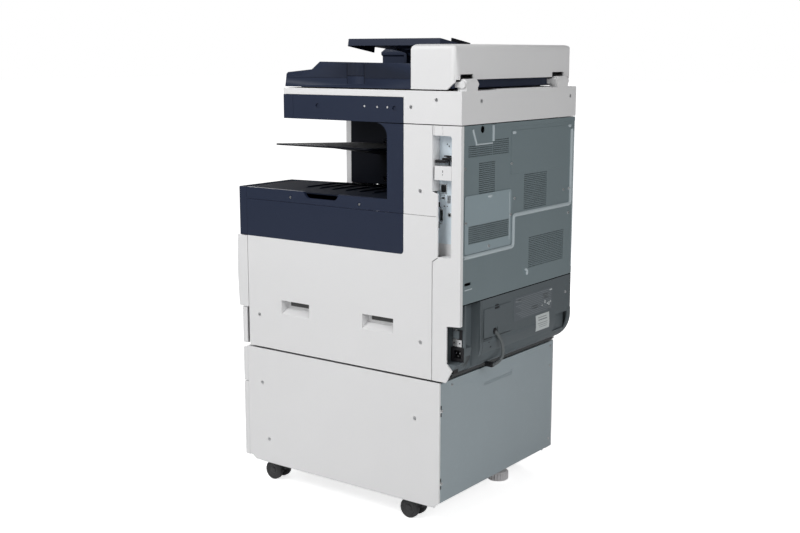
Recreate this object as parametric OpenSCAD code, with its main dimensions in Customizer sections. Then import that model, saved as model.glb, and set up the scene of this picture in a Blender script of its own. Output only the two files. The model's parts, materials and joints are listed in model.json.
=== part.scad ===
// Floor-standing A3 photocopier with document feeder and two-drawer paper module.
// Millimetres. +Z up, -Y the front, +X the open side of the output tray, floor at z = 0.

/* [Overall] */
// Right face of the body (the origin is the middle of the floor outline)
right_x = 295; // [290:1:300]
// Left face of the engine covers
left_x = -226; // [-228:1:-224]
// Rear face of the scanner and the corner cover
rear_y = 336; // [334:1:340]
// Front face of the drawers and the upper front cover
front_y = -336; // [-338:1:-334]
// Wall thickness of the plastic covers
wall = 4; // [3:0.5:4]

/* [Paper module] */
// Underside of the right and left cabinet covers
cab_z0 = 55; // [52:1:58]
// Top of the paper module
cab_z1 = 356; // [355:1:357]
// Rear face of the paper module
cab_rear_y = 282; // [280:1:284]
// Left face of the paper module
cab_left_x = -232; // [-234:1:-230]
// Height of the joint between the two drawers
drawer_split_z = 261; // [255:1:265]
// Radius of the caster wheels
caster_r = 25; // [24:0.5:26]

/* [Engine] */
// Underside of the engine covers
engine_z0 = 361; // [360:1:362]
// Joint between drawer 1 and the front door
door_z0 = 458; // [456:1:460]
// Underside of the dark side band
band_z0 = 645; // [643:1:647]
// Joint that runs through the dark side band
band_z1 = 739; // [737:1:741]
// Level of the open edge of the output tray
tray_z = 768; // [766:1:770]
// Top of the engine covers
engine_z1 = 941; // [940:1:942]
// Rear edge of the dark side band
band_y1 = 179; // [176:1:182]
// Rear edge of the output opening
mouth_y1 = 133; // [130:1:136]
// Outer face of the rear steel panel
rear_panel_y = 331; // [330:1:332]

/* [Scanner] */
// Underside of the scanner
scan_z0 = 943; // [943:0.5:944]
// Top of the scanner
scan_z1 = 1016; // [1015:0.5:1016]
// Front face of the scanner
scan_front_y = -180; // [-184:1:-176]
// Left face of the scanner and of the feeder
scan_left_x = -219.5; // [-222:0.5:-217]

/* [Document feeder] */
// Underside of the feeder
feed_z0 = 1019; // [1018.5:0.5:1020]
// Top of the feeder's rear cover
feed_z1 = 1117; // [1112:1:1120]
// Front of the feeder's rear cover
feed_cover_y = 200; // [196:1:204]
// Rear of the feeder's rear cover
feed_rear_y = 321; // [319:1:322]
// Slope of the input tray in degrees
input_slope = 8.5; // [7:0.5:10]

/* [Hidden] */
$fn = 48;

body_grey = "gainsboro";
body_dark = [0.20, 0.22, 0.31];
steel = [0.52, 0.58, 0.60];
inner_x = right_x - wall;
door_gap = 1.5;
seam_y = -311;
cab_seam_y = -319;
drawer_y1 = cab_seam_y - 0.5;
caster_y_front = -262;
caster_y_rear = 177;
caster_x = [248, -186];
caster_trail = 18;
handle_z = [453, 490];
handle_y = [[-199, -108], [58, 150]];
feet_at = [[-87, 206], [149, -230]];
io_y = [261, 311];
io_z = [648, 919];
io_x = 265;
inlet_wall_x = 268;
door_axis = [-334, 472];
door_hinge_x = [-186, 225];
side_door_axis = [-258, 174];
bypass_axis = [-284, 514];
top_cover_axis = [-214, 1062];
column_x = -134;
fan_at = [-37, 773];
fan_r = 42;
lid_axis = [327, 1030];
lid_ear_x = [[226, 230.5], [277.5, 282], [-182, -177.5], [-124.5, -120]];
hinge_x = [[231, 277], [-177, -125]];
tray_pivot = [-52, 1096];
top_cover_lugs = [[-155.4, -150.2], [189.2, 194.4]];
button_at = [[-175, -262], [-175, -300]];
cable_r = 4;
panel_z = 992;
roller_at = [-110, 1046];

// Box between two corners.
module block(lo, hi) {
    translate(lo) cube(hi - lo);
}

// Outline in (y, z), given thickness along x.
module side_sheet(x0, x1) {
    translate([x0, 0, 0]) rotate([90, 0, 90]) linear_extrude(x1 - x0) children();
}

// Outline in (x, z), given thickness along y.
module front_sheet(y0, y1) {
    translate([0, y1, 0]) rotate([90, 0, 0]) linear_extrude(y1 - y0) children();
}

// Rectangle with round corners between two corners.
module round_rect(lo, hi, r) {
    translate(lo + [r, 0]) square(hi - lo - [2 * r, 0]);
    translate(lo + [0, r]) square(hi - lo - [0, 2 * r]);
    for (x = [lo[0] + r, hi[0] - r], y = [lo[1] + r, hi[1] - r]) translate([x, y]) circle(r);
}

// Round bar along x or along y.
module bar_x(x0, x1, y, z, r) {
    translate([x0, y, z]) rotate([0, 90, 0]) cylinder(h = x1 - x0, r = r);
}
module bar_y(y0, y1, x, z, r) {
    translate([x, y0, z]) rotate([-90, 0, 0]) cylinder(h = y1 - y0, r = r);
}

// Open-topped box with a floor, its outer corners at lo and hi.
module bin(lo, hi, t) {
    difference() {
        block(lo, hi);
        block(lo + [t, t, t], hi + [-t, -t, 1]);
    }
}

// ---------------------------------------------------------------- paper module

module cabinet_frame() {
    color(steel) {
        block([-224, -308, 62], [288, 274, 68]);
        for (x = [283, -221]) block([x, -290, 50], [x + 2, 262, 62]);
        for (x = [-224, 264], y = [-308, 254]) block([x, y, 68], [x + 20, y + 20, 348]);
        block([-224, -308, drawer_split_z - 1.5], [-204, 274, drawer_split_z + 1.5]);
        block([268, -308, drawer_split_z - 1.5], [288, 274, drawer_split_z + 1.5]);
        block([-224, 254, 68], [288, 258, 348]);
        block([-224, -308, 348], [288, 274, cab_z1]);
        for (x = caster_x, y = [caster_y_front, caster_y_rear]) {
            block([x - 28, y + caster_trail - 28, 56], [x + 28, y + caster_trail + 28, 62]);
        }
        for (p = feet_at) translate([p[0], p[1], 54]) cylinder(h = 8, r = 12);
        for (x = [-205, 270], y = [-290, 250]) translate([x, y, cab_z1]) cylinder(h = 5, r = 9);
    }
}

module cabinet_side_outline() {
    polygon([
        [cab_seam_y, cab_z1], [cab_seam_y, cab_z0 + 10], [cab_seam_y + 8, cab_z0 + 9],
        [cab_seam_y + 22, cab_z0], [cab_rear_y - 16, cab_z0], [cab_rear_y, cab_z0 + 12], [cab_rear_y, cab_z1]
    ]);
}

screw_sites_cabinet = [[-270, 266], [-250, 118], [212, 261]];

module cabinet_right_cover() {
    color(body_grey) difference() {
        union() {
            side_sheet(inner_x, right_x) cabinet_side_outline();
            block([288.5, cab_rear_y - 3, 70], [inner_x, cab_rear_y, cab_z1]);
        }
        for (p = screw_sites_cabinet) bar_x(right_x - 2.5, right_x + 1, p[0], p[1], 5);
    }
}

module cabinet_left_cover() {
    color(body_grey) side_sheet(cab_left_x, cab_left_x + wall) cabinet_side_outline();
}

module cabinet_rear_panel() {
    color([0.50, 0.55, 0.58]) difference() {
        union() {
            block([cab_left_x + wall, cab_rear_y - 3, 67], [288, cab_rear_y, cab_z1 - 1]);
            block([cab_left_x + wall, cab_rear_y - 8, 67], [288, cab_rear_y - 3, 69]);
        }
        block([-21, cab_rear_y - 1.2, 309], [106, cab_rear_y + 1, 317]);
    }
}

// Swivel hood of a twin-wheel caster; at is the wheel's middle.
module caster_fork(at) {
    web = 8;
    color([0.16, 0.16, 0.17]) difference() {
        union() {
            bar_x(at[0] - web, at[0] + web, at[1], caster_r, 15);
            block([at[0] - web, at[1] - 4, caster_r + 2], [at[0] + web, at[1] + caster_trail + 12, 52]);
            translate([at[0], at[1] + caster_trail, 50.6]) cylinder(h = 4.9, r = 21);
        }
        bar_x(at[0] - web - 1, at[0] + web + 1, at[1], caster_r, 4.06);
    }
}

module caster_wheel(at) {
    gap = 8.6;
    tread = 15;
    color([0.24, 0.24, 0.25]) {
        bar_x(at[0] - gap - 1, at[0] + gap + 1, at[1], caster_r, 4);
        for (x0 = [at[0] - gap - tread, at[0] + gap]) {
            difference() {
                bar_x(x0, x0 + tread, at[1], caster_r, caster_r);
                bar_x(x0 < at[0] ? x0 - 1 : x0 + tread - 2, x0 < at[0] ? x0 + 2 : x0 + tread + 1,
                      at[1], caster_r, caster_r - 7);
            }
        }
    }
}

module caster_fork_front_right() { caster_fork([caster_x[0], caster_y_front]); }
module caster_fork_front_left() { caster_fork([caster_x[1], caster_y_front]); }
module caster_fork_rear_right() { caster_fork([caster_x[0], caster_y_rear]); }
module caster_fork_rear_left() { caster_fork([caster_x[1], caster_y_rear]); }
module caster_wheel_front_right() { caster_wheel([caster_x[0], caster_y_front]); }
module caster_wheel_front_left() { caster_wheel([caster_x[1], caster_y_front]); }
module caster_wheel_rear_right() { caster_wheel([caster_x[0], caster_y_rear]); }
module caster_wheel_rear_left() { caster_wheel([caster_x[1], caster_y_rear]); }

module levelling_feet() {
    foot_r = 27;
    ribs = 30;
    color([0.72, 0.71, 0.72]) for (p = feet_at) translate([p[0], p[1], 0]) {
        cylinder(h = 24, r = foot_r - 1.5);
        for (i = [0:ribs - 1]) rotate(i * 360 / ribs) translate([foot_r - 3, -1.4, 2]) cube([3, 2.8, 20]);
        cylinder(h = 54, r = 5);
    }
}

// Drawer front with a finger grip scooped from its top edge.
module drawer_front(z0, z1) {
    grip_mid = 31;
    grip_half = 70;
    color(body_grey) difference() {
        block([cab_left_x + 3, front_y, z0], [right_x - 1, drawer_y1, z1]);
        block([grip_mid - grip_half, front_y - 1, z1 - 26], [grip_mid + grip_half, front_y + 11, z1 - 6]);
    }
}

module drawer_box(z0, z1) {
    bin([-195, drawer_y1, z0], [260, 235, z1], 3);
}

module tray_2_box() { color([0.30, 0.31, 0.33]) drawer_box(272, 338); }
module tray_2_front() { drawer_front(drawer_split_z + 1, 352); }
module tray_3_box() {
    color([0.30, 0.31, 0.33]) {
        drawer_box(76, 240);
        block([30, drawer_y1 + 3, 79], [33, 232, 236]);
    }
}
module tray_3_front() { drawer_front(62, drawer_split_z - 1); }

// ---------------------------------------------------------------- engine

module engine_frame() {
    back_y = 283;
    top_z = 636;
    color([0.62, 0.64, 0.66]) {
        difference() {
            union() {
                block([-218, -304, 361], [283, back_y + 3, 364]);
                block([280, -304, 364], [283, 250, top_z + 3]);
                block([-218, -304, 364], [-215, back_y, top_z + 3]);
                block([-218, back_y, 364], [250, back_y + 3, scan_z0]);
                block([-218, -304, 460], [283, back_y, 463]);
                block([-218, -304, top_z], [283, back_y, top_z + 3]);
            }
            for (y = handle_y) block([264, y[0] - 4, handle_z[0] - 6], [284, y[1] + 4, handle_z[1] + 6]);
        }
        for (p = [[-216, -230], [238, 190]]) block([p[0], p[1], top_z], [p[0] + 20, p[1] + 21, scan_z0]);
        // Arms and pins that carry the front door.
        for (x = door_hinge_x) {
            block([x + 31, door_axis[0] - 5, door_axis[1] - 4], [x + 36, -303, door_axis[1] + 4]);
            block([x + 31, seam_y, 460], [x + 36, -303, door_axis[1] - 3]);
            bar_x(x + 22, x + 31, door_axis[0], door_axis[1], 2.5);
        }
        bar_y(back_y, 301, fan_at[0], fan_at[1], 14);
        bar_y(300, 314, fan_at[0], fan_at[1], 3);
        for (x = [-170, 150]) block([x, -304, 463], [x + 3, -298, top_z]);
    }
}

module tray_1_box() { color([0.30, 0.31, 0.33]) drawer_box(374, 444); }
module tray_1_front() { drawer_front(engine_z0 + 2, door_z0 - 1); }

// Bowed shell on a bottom hinge.
module front_door() {
    z0 = door_z0 + door_gap;
    z1 = band_z0 - 1;
    mid_z = (z0 + z1) / 2;
    bow = 4;
    face_y = front_y - 8;
    bow_r = (pow((z1 - z0) / 2, 2) + bow * bow) / (2 * bow);
    color(body_grey) {
        difference() {
            intersection() {
                block([left_x, face_y - bow, z0], [right_x, seam_y - 1, z1]);
                bar_x(left_x - 1, right_x + 1, face_y - bow + bow_r, mid_z, bow_r, $fn = 1440);
            }
            block([left_x + wall, face_y + 3, z0 + wall], [right_x - wall, seam_y + 1, z1 - wall]);
            for (x = door_hinge_x) block([x + 29, door_axis[0] - 12, z0 - 1], [x + 38, seam_y + 1, z0 + wall + 1]);
            // Lower corners rounded about the hinge, which swing clear of the covers beside them.
            side_sheet(left_x - 1, right_x + 1) for (corner = [[-20, 20, 14.6], [0, 26, 23.2]]) difference() {
                translate([door_axis[0] + corner[0], z0 - 1]) square([corner[1], door_axis[1] - z0 + 1]);
                translate(door_axis) circle(corner[2]);
            }
        }
        // Knuckles that turn on the frame's pins.
        for (x = door_hinge_x) difference() {
            union() {
                block([x, face_y + 2, z0 + 2], [x + 28, door_axis[0], door_axis[1]]);
                bar_x(x, x + 28, door_axis[0], door_axis[1], 7);
            }
            bar_x(x - 1, x + 29, door_axis[0], door_axis[1], 2.56);
        }
    }
}

// Dark fascia that wraps the front right corner; its top follows the sloping output tray.
module upper_front_cover() {
    color(body_dark) {
        front_sheet(front_y, front_y + wall) polygon([
            [column_x + 0.5, band_z0], [right_x, band_z0], [right_x, tray_z], [99, tray_z],
            [column_x + 0.5, band_z1]
        ]);
        block([inner_x, front_y + wall, band_z0], [right_x, seam_y, tray_z]);
    }
}

// Round-cornered pocket behind each lifting handle.
module handle_pocket(y, outer) {
    grow = outer ? 2.5 : 0;
    depth = outer ? 27 : 24.5;
    block([right_x - depth, y[0] - grow, handle_z[0] - grow], [right_x + (outer ? -1 : 1), y[1] + grow, handle_z[1] + grow]);
}

screw_sites_lower = [[-275, 444], [228, 445]];

module right_lower_cover() {
    corner = 9;
    color(body_grey) difference() {
        union() {
            side_sheet(inner_x, right_x) difference() {
                polygon([
                    [seam_y + 0.8, engine_z0], [259, engine_z0], [259, 637], [274, band_z0 + 2], [274, band_z1 - 0.8],
                    [seam_y + 0.8, band_z1 - 0.8]
                ]);
                difference() {
                    translate([seam_y, band_z0]) square([band_y1 - seam_y + 0.6, 200]);
                    translate([band_y1 - corner, band_z0]) difference() {
                        square(corner + 1);
                        translate([0, corner]) circle(corner + 0.6);
                    }
                }
            }
            for (y = handle_y) handle_pocket(y, true);
        }
        for (y = handle_y) handle_pocket(y, false);
        for (p = screw_sites_lower) bar_x(right_x - 2.5, right_x + 1, p[0], p[1], 5);
    }
    // Sloping lip that the fingers curl under.
    color(body_grey) for (y = handle_y) translate([0, y[0], 0]) rotate([90, 0, 0]) mirror([0, 0, 1])
        linear_extrude(y[1] - y[0]) polygon([
            [right_x - 1, handle_z[0]], [right_x - 1, handle_z[0] + 2], [right_x - 20, handle_z[0] + 14],
            [right_x - 24.5, handle_z[0] + 14], [right_x - 24.5, handle_z[0]]
        ]);
}

module side_band() {
    corner = 9;
    color(body_dark) side_sheet(inner_x, right_x) {
        translate([seam_y + 0.8, band_z0]) square([band_y1 - corner - seam_y - 0.8, band_z1 - 0.8 - band_z0]);
        translate([band_y1 - corner, band_z0 + corner]) square([corner, band_z1 - 0.8 - band_z0 - corner]);
        translate([band_y1 - corner, band_z0 + corner]) circle(corner);
    }
}

screw_sites_trim = [[-164, 751], [51, 750]];

// Low side wall of the output tray and the column that rises behind the opening.
module inner_side_trim() {
    scoop = [-119, -13];
    scoop_r = 15;
    curve_r = 30;
    color(body_dark) difference() {
        side_sheet(right_x - 8, right_x) difference() {
            union() {
                translate([seam_y + 0.8, band_z1]) square([band_y1 - seam_y - 0.8, tray_z - band_z1]);
                translate([mouth_y1, band_z1]) square([band_y1 - mouth_y1, engine_z1 - band_z1]);
                difference() {
                    translate([mouth_y1 - curve_r, engine_z1 - curve_r]) square(curve_r);
                    translate([mouth_y1 - curve_r, engine_z1 - curve_r]) circle(curve_r);
                }
            }
            translate([scoop[0], tray_z]) square([scoop[1] - scoop[0], 1]);
            for (y = [scoop[0] + scoop_r, scoop[1] - scoop_r]) translate([y, tray_z]) circle(scoop_r);
            translate([scoop[0] + scoop_r, tray_z - scoop_r]) square([scoop[1] - scoop[0] - 2 * scoop_r, scoop_r + 1]);
        }
        for (p = screw_sites_trim) bar_x(right_x - 2.5, right_x + 1, p[0], p[1], 4);
    }
}

// Sloping tray floor: level towards the open side, falling to the exit slot, with raised ribs.
module output_tray() {
    t = 3;
    flat_x = 99;
    ribs = 7;
    first_rib = -190;
    rib_step = 42;
    color(body_dark) {
        front_sheet(front_y + wall + 0.5, mouth_y1 - 0.5) polygon([
            [column_x + 5, band_z1 + 1], [flat_x, tray_z - 2], [right_x - 8.5, tray_z - 2],
            [right_x - 8.5, tray_z - 2 - t], [flat_x, tray_z - 2 - t], [column_x + 5, band_z1 + 1 - t]
        ]);
        for (i = [0:ribs - 1]) translate([0, first_rib + i * rib_step, 0]) front_sheet(0, 5) polygon([
            [column_x + 15, band_z1], [flat_x, tray_z - 4], [220, tray_z - 4], [200, tray_z + 1],
            [flat_x, tray_z + 1], [column_x + 25, band_z1 + 6]
        ]);
        for (y = [-300, 100]) block([-40, y, 640], [240, y + 3, band_z1 - 1]);
        for (y = [-300, 100]) block([100, y, band_z1 - 1.5], [240, y + 3, tray_z - 4]);
    }
}

module right_upper_cover() {
    color(body_grey) difference() {
        union() {
            side_sheet(inner_x, right_x) polygon([
                [band_y1 + 0.8, band_z1], [274, band_z1], [274, 790], [259, 794], [259, engine_z1],
                [band_y1 + 0.8, engine_z1]
            ]);
            block([io_x + 1, 255.5, 794], [inner_x, 259, 930]);
        }
        bar_x(right_x - 2.5, right_x + 1, 226, 793, 5);
    }
}

module rear_corner_cover() {
    notch_z = 495;
    color(body_grey) difference() {
        union() {
            side_sheet(inner_x, right_x) difference() {
                polygon([
                    [261, engine_z0], [299, engine_z0], [315, 390], [300, 406], [300, notch_z - 3], [rear_y, notch_z],
                    [rear_y, engine_z1], [261, engine_z1]
                ]);
                round_rect([io_y[0] - 12, io_z[0]], [io_y[1], io_z[1]], 6);
                polygon([[258, 635.4], [260, 635.4], [275.2, 645.5], [275.2, 656], [258, 656]]);
            }
            block([284.5, rear_y - wall, notch_z], [inner_x, rear_y, engine_z1]);
            block([io_x + 1, io_y[1], io_z[0] - 2], [inner_x, io_y[1] + 3, io_z[1] + 2]);
            block([io_x + 1, 261, io_z[1]], [inner_x, io_y[1], io_z[1] + 3]);
            block([io_x + 1, 276, io_z[0] - 3], [inner_x, io_y[1], io_z[0]]);
        }
        for (y = [264, 286]) block([right_x - 1, y, io_z[1]], [right_x + 1, y + 0.8, engine_z1 + 1]);
    }
}

// Dark inner walls of the output opening, with the two paper exit slots.
module exit_housing() {
    color([0.08, 0.09, 0.13]) {
        difference() {
            side_sheet(column_x, column_x + wall) polygon([
                [-316, band_z1 + 4], [mouth_y1 + wall, band_z1 + 4], [mouth_y1 + wall, engine_z1], [-316, engine_z1]
            ]);
            block([column_x - 1, -200, band_z1 + 12], [column_x + wall + 1, 110, band_z1 + 30]);
            block([column_x - 1, -200, 848], [column_x + wall + 1, 110, 866]);
        }
        block([column_x + wall, mouth_y1, band_z1 + 4], [right_x - 8.5, mouth_y1 + wall, engine_z1]);
        for (y = [-260, 120]) block([column_x - 10, y, 640], [column_x, y + 10, 800]);
    }
}

module left_cover() {
    door_y = [-300, 182];
    door_z = [378, 934];
    color(body_grey) {
        side_sheet(left_x, left_x + wall) difference() {
            polygon([
                [front_y, band_z0], [front_y, engine_z1], [327, engine_z1], [327, 541], [286, 541],
                [286, engine_z0], [seam_y + 1, engine_z0], [seam_y + 1, band_z0]
            ]);
            translate([door_y[0], door_z[0]]) square([door_y[1] - door_y[0], door_z[1] - door_z[0]]);
        }
        block([left_x + wall, front_y, band_z0], [column_x, front_y + wall, engine_z1]);
        block([column_x - wall, front_y + wall, band_z0], [column_x, -316.5, engine_z1]);
        // Brackets and pins of the side door.
        for (z = [371, 934.3]) block([side_door_axis[0] - 6, 167, z], [left_x + 1, 180, z + 6.5]);
        for (z = [377, 925]) translate([side_door_axis[0], side_door_axis[1], z]) cylinder(h = 10, r = 2.5);
    }
}

// Wing that catches the upper exit; it rises towards the open side and is thicker at its root.
module exit_shelf() {
    root_z = 836;
    tip_z = 876;
    tip_x = 289;
    y0 = -216;
    y1 = 68;
    color([0.10, 0.11, 0.16]) intersection() {
        front_sheet(y0, y1) polygon([
            [column_x + wall + 0.3, root_z + 10], [-70, root_z + 26], [tip_x - 5, tip_z + 4], [tip_x - 1, tip_z + 2],
            [tip_x - 3, tip_z], [110, root_z + 24], [column_x + wall + 0.3, root_z - 12]
        ]);
        linear_extrude(1200) polygon([
            [column_x, y0], [tip_x - 5, y0], [tip_x, y0 + 5], [tip_x, y1 - 8], [tip_x - 8, y1], [column_x, y1]
        ]);
    }
}

// Left side door, a shallow shell over the paper path.
module left_door() {
    x0 = -262;
    x1 = -226.5;
    y = [-296, 178];
    z = [384, 930];
    color(body_grey) difference() {
        block([x0, y[0], z[0]], [x1, y[1], z[1]]);
        block([x0 + wall, y[0] + wall, z[0] + wall], [x1 + 1, y[1] - wall, z[1] - wall]);
        block([x0 - 1, -110, 530], [x0 + wall + 1, 90, 546]);
        translate([side_door_axis[0], side_door_axis[1], z[0] - 1]) cylinder(h = z[1] - z[0] + 2, r = 2.56);
    }
    // Ears and pins of the bypass tray.
    color(body_grey) for (s = [-1, 1]) {
        block([bypass_axis[0] - 7, min(s * 151, s * 157), bypass_axis[1] - 8], [x0, max(s * 151, s * 157), bypass_axis[1] + 8]);
        bar_y(min(s * 144, s * 151), max(s * 144, s * 151), bypass_axis[0], bypass_axis[1], 3);
    }
}

module bypass_tray() {
    color(body_grey) difference() {
        front_sheet(-150, 150) polygon([
            [-272, 500], [-295, 512], [-295, 742], [-284, 760], [-264.5, 760], [-264.5, 505.5]
        ]);
        block([-291, -140, 526], [-274, 140, 752]);
        bar_y(-151, 151, bypass_axis[0], bypass_axis[1], 3.06);
        block([-296, -40, 738], [-284, 40, 762]);
    }
}

// ---------------------------------------------------------------- rear of the engine

// Rows of slots that fill a vent field.
module vent_slots(x, z) {
    pitch = 6;
    for (z0 = [z[0] + 1:pitch:z[1] - 4]) block([x[0], rear_panel_y - 10, z0], [x[1], rear_panel_y + 10, z0 + 3]);
}

rear_vents = [
    [[90, 228], [870, 897]], [[229, 260], [870, 899]], [[148, 216], [785, 857]],
    [[-90, 18], [730, 817]], [[-180, -10], [585, 660]]
];
access_vent = [[90, 259], [677, 718]];

module rear_panel() {
    y0 = rear_panel_y - 2;
    color(steel) difference() {
        union() {
            block([left_x + 0.5, y0, 541], [284, rear_panel_y, engine_z1]);
            block([-214, rear_panel_y, 722], [-204, rear_panel_y + 3, 912]);
        }
        for (v = rear_vents) vent_slots(v[0], v[1]);
        block([86, rear_panel_y - 5, 663], [266, rear_panel_y + 5, 778]);
        bar_y(rear_panel_y - 5, rear_panel_y + 5, 202, 931, 8);
        block([244, rear_panel_y - 5, 584], [270, rear_panel_y + 5, 590]);
    }
    color(steel) {
        block([-204, rear_panel_y, 718], [70, rear_panel_y + 3, 727]);
        block([61, rear_panel_y, 651], [70, rear_panel_y + 3, 718]);
        block([61, rear_panel_y, 643], [276, rear_panel_y + 3, 651]);
    }
}

module rear_access_plate() {
    color([0.58, 0.64, 0.67]) difference() {
        front_sheet(rear_panel_y, rear_panel_y + 2) round_rect([78, 655], [274, 786], 6);
        vent_slots(access_vent[0], access_vent[1]);
    }
}

// Lower rear casing: round-bottomed, with the scooped channel and the pocket for the power inlet.
module lower_profile(inset) {
    curve_r = 74 - inset;
    difference() {
        translate([287, 362 + inset]) square([rear_panel_y - inset - 287, 178 - 2 * inset]);
        difference() {
            translate([rear_panel_y - 74, 361]) square([75, 75]);
            translate([rear_panel_y - 74, 436]) circle(curve_r);
        }
    }
}

module rear_lower_cover() {
    channel = [203, 262];
    channel_run_x = 240;
    color([0.36, 0.39, 0.41]) difference() {
        union() {
            side_sheet(left_x + 1, inlet_wall_x) lower_profile(0);
            // Floor of the recess beside the inlet.
            intersection() {
                side_sheet(inlet_wall_x, 290.5) lower_profile(0);
                block([inlet_wall_x, 280, 355], [291, 340, 404]);
            }
            block([inlet_wall_x - 3, 283.3, 404], [inlet_wall_x, 290, 537]);
        }
        side_sheet(left_x + 4, channel[0] - 3) lower_profile(3);
        // Channel scooped out of the face, shallower towards the bottom.
        side_sheet(channel[0], channel[1]) polygon([[335, 438], [335, 545], [306, 545], [306, 446]]);
        side_sheet(channel[0], channel_run_x) polygon([[335, 370], [335, 447], [306, 447], [306, 370]]);
        // Hollow behind the channel and below it.
        block([channel[0], 284, 365], [inlet_wall_x - 3, 303, 537]);
        intersection() {
            side_sheet(channel[0], inlet_wall_x - 3) lower_profile(3);
            union() {
                block([channel[0], 280, 355], [channel_run_x + 3, 303, 434]);
                block([channel_run_x + 3, 280, 355], [inlet_wall_x, 340, 434]);
            }
        }
        // Opening for the inlet.
        block([243.5, 299.5, 411.5], [inlet_wall_x + 1, 326.5, 437.4]);
        // Holes for the looped cable.
        bar_y(320, 340, 139, 457, 8);
        block([124, 290, 366], [140, 325, 378]);
        block([-209, 318, 400], [-150, 340, 445]);
    }
    color([0.36, 0.39, 0.41]) block([-212, 315, 396], [-148, 318, 448]);
}

module rear_connector_cover() {
    color([0.37, 0.40, 0.42]) difference() {
        block([71, rear_panel_y, 449], [188, rear_panel_y + 1.5, 516]);
        block([128, rear_panel_y - 1, 446], [150, rear_panel_y + 3, 466]);
        block([122, rear_panel_y - 1, 510], [142, rear_panel_y + 3, 518]);
    }
}

module io_panel() {
    color([0.70, 0.76, 0.82]) {
        difference() {
            block([io_x - 2, 250, 655], [io_x, 326, 938]);
            block([io_x - 3, 281, 792], [io_x + 1, 298, 811]);
            block([io_x - 3, 283, 778], [io_x + 1, 293, 787]);
        }
        block([io_x - 14, 279, 790], [io_x - 2, 300, 813]);
        block([io_x - 14, 281, 776], [io_x - 2, 295, 789]);
        block([io_x - 2, 250, 655], [io_x + 1, 256, 790]);
        for (z = [700, 880]) block([250, 283, z], [io_x - 2, 286, z + 20]);
    }
}

module io_cap() {
    color("whitesmoke") difference() {
        block([io_x, 264, 821], [294, 310, 852]);
        block([io_x - 1, 267, 824], [290, 307, 849]);
    }
}

// Mains inlet that faces the side, with its earthing plate above.
module power_inlet() {
    color([0.07, 0.07, 0.08]) difference() {
        union() {
            block([244, 300, 412], [inlet_wall_x, 326, 437]);
            block([inlet_wall_x, 296, 408], [inlet_wall_x + 2, 330, 441]);
        }
        block([250, 303, 415], [inlet_wall_x + 3, 323, 434]);
    }
    color("silver") block([inlet_wall_x, 300, 441], [inlet_wall_x + 1.2, 326, 482]);
}

// Route of the looped link cable, from the hole in the casing to its plug below.
cable_route = [
    [139, 318, 460], [139, 326, 459], [138, 333, 454], [134, 339, 444], [128, 343, 430],
    [124, 344, 414], [122, 343, 400], [123, 340, 390], [126, 334, 381], [130, 327, 375], [132, 322, 373]
];

function unit(v) = v / norm(v);
function tangent(i) = unit(cable_route[min(i + 1, len(cable_route) - 1)] - cable_route[max(i - 1, 0)]);
function ring(i, sides) =
    let (t = tangent(i), a = unit(cross([1, 0.2, 0], t)), b = cross(t, a))
    [for (k = [0:sides - 1]) cable_route[i] + cable_r * (cos(k * 360 / sides) * a + sin(k * 360 / sides) * b)];

module link_cable() {
    sides = 8;
    rings = len(cable_route);
    color([0.45, 0.47, 0.48]) polyhedron(
        points = [for (i = [0:rings - 1]) each ring(i, sides)],
        faces = concat(
            [[for (k = [0:sides - 1]) k]],
            [for (i = [0:rings - 2], k = [0:sides - 1])
                let (n = (k + 1) % sides) [i * sides + n, i * sides + k, (i + 1) * sides + k]],
            [for (i = [0:rings - 2], k = [0:sides - 1])
                let (n = (k + 1) % sides) [i * sides + n, (i + 1) * sides + k, (i + 1) * sides + n]],
            [[for (k = [sides - 1:-1:0]) (rings - 1) * sides + k]]
        )
    );
    color([0.08, 0.08, 0.09]) block([125.5, 300, 367], [138.5, 322, 377]);
}

// ---------------------------------------------------------------- inside the engine

module toner_cartridges() {
    color([0.15, 0.15, 0.17]) for (i = [0:3]) {
        bar_y(-286, 120, -150 + i * 100, 560, 34);
        block([-168 + i * 100, -296, 545], [-132 + i * 100, -285, 575]);
        block([-160 + i * 100, -286, 463], [-140 + i * 100, 120, 530]);
    }
}

module fuser_unit() {
    color([0.55, 0.5, 0.45]) {
        bin([-210, -190, 700], [-146, 120, 735], 3);
        bar_y(-187, 117, -164, 724, 17);
        bar_y(-187, 117, -192, 720, 11.5);
        for (y = [-180, 100]) block([-206, y, 639], [-150, y + 8, 700]);
    }
}

module cooling_fan() {
    blades = 7;
    color([0.12, 0.12, 0.13]) difference() {
        union() {
            bar_y(304, 322, fan_at[0], fan_at[1], 16);
            for (i = [0:blades - 1]) translate([fan_at[0], 313, fan_at[1]]) rotate([0, i * 360 / blades, 0])
                translate([14, -7, -1]) rotate([35, 0, 0]) cube([fan_r - 14, 12, 2]);
        }
        bar_y(300, 315, fan_at[0], fan_at[1], 3.05);
    }
}

// ---------------------------------------------------------------- scanner

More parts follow.
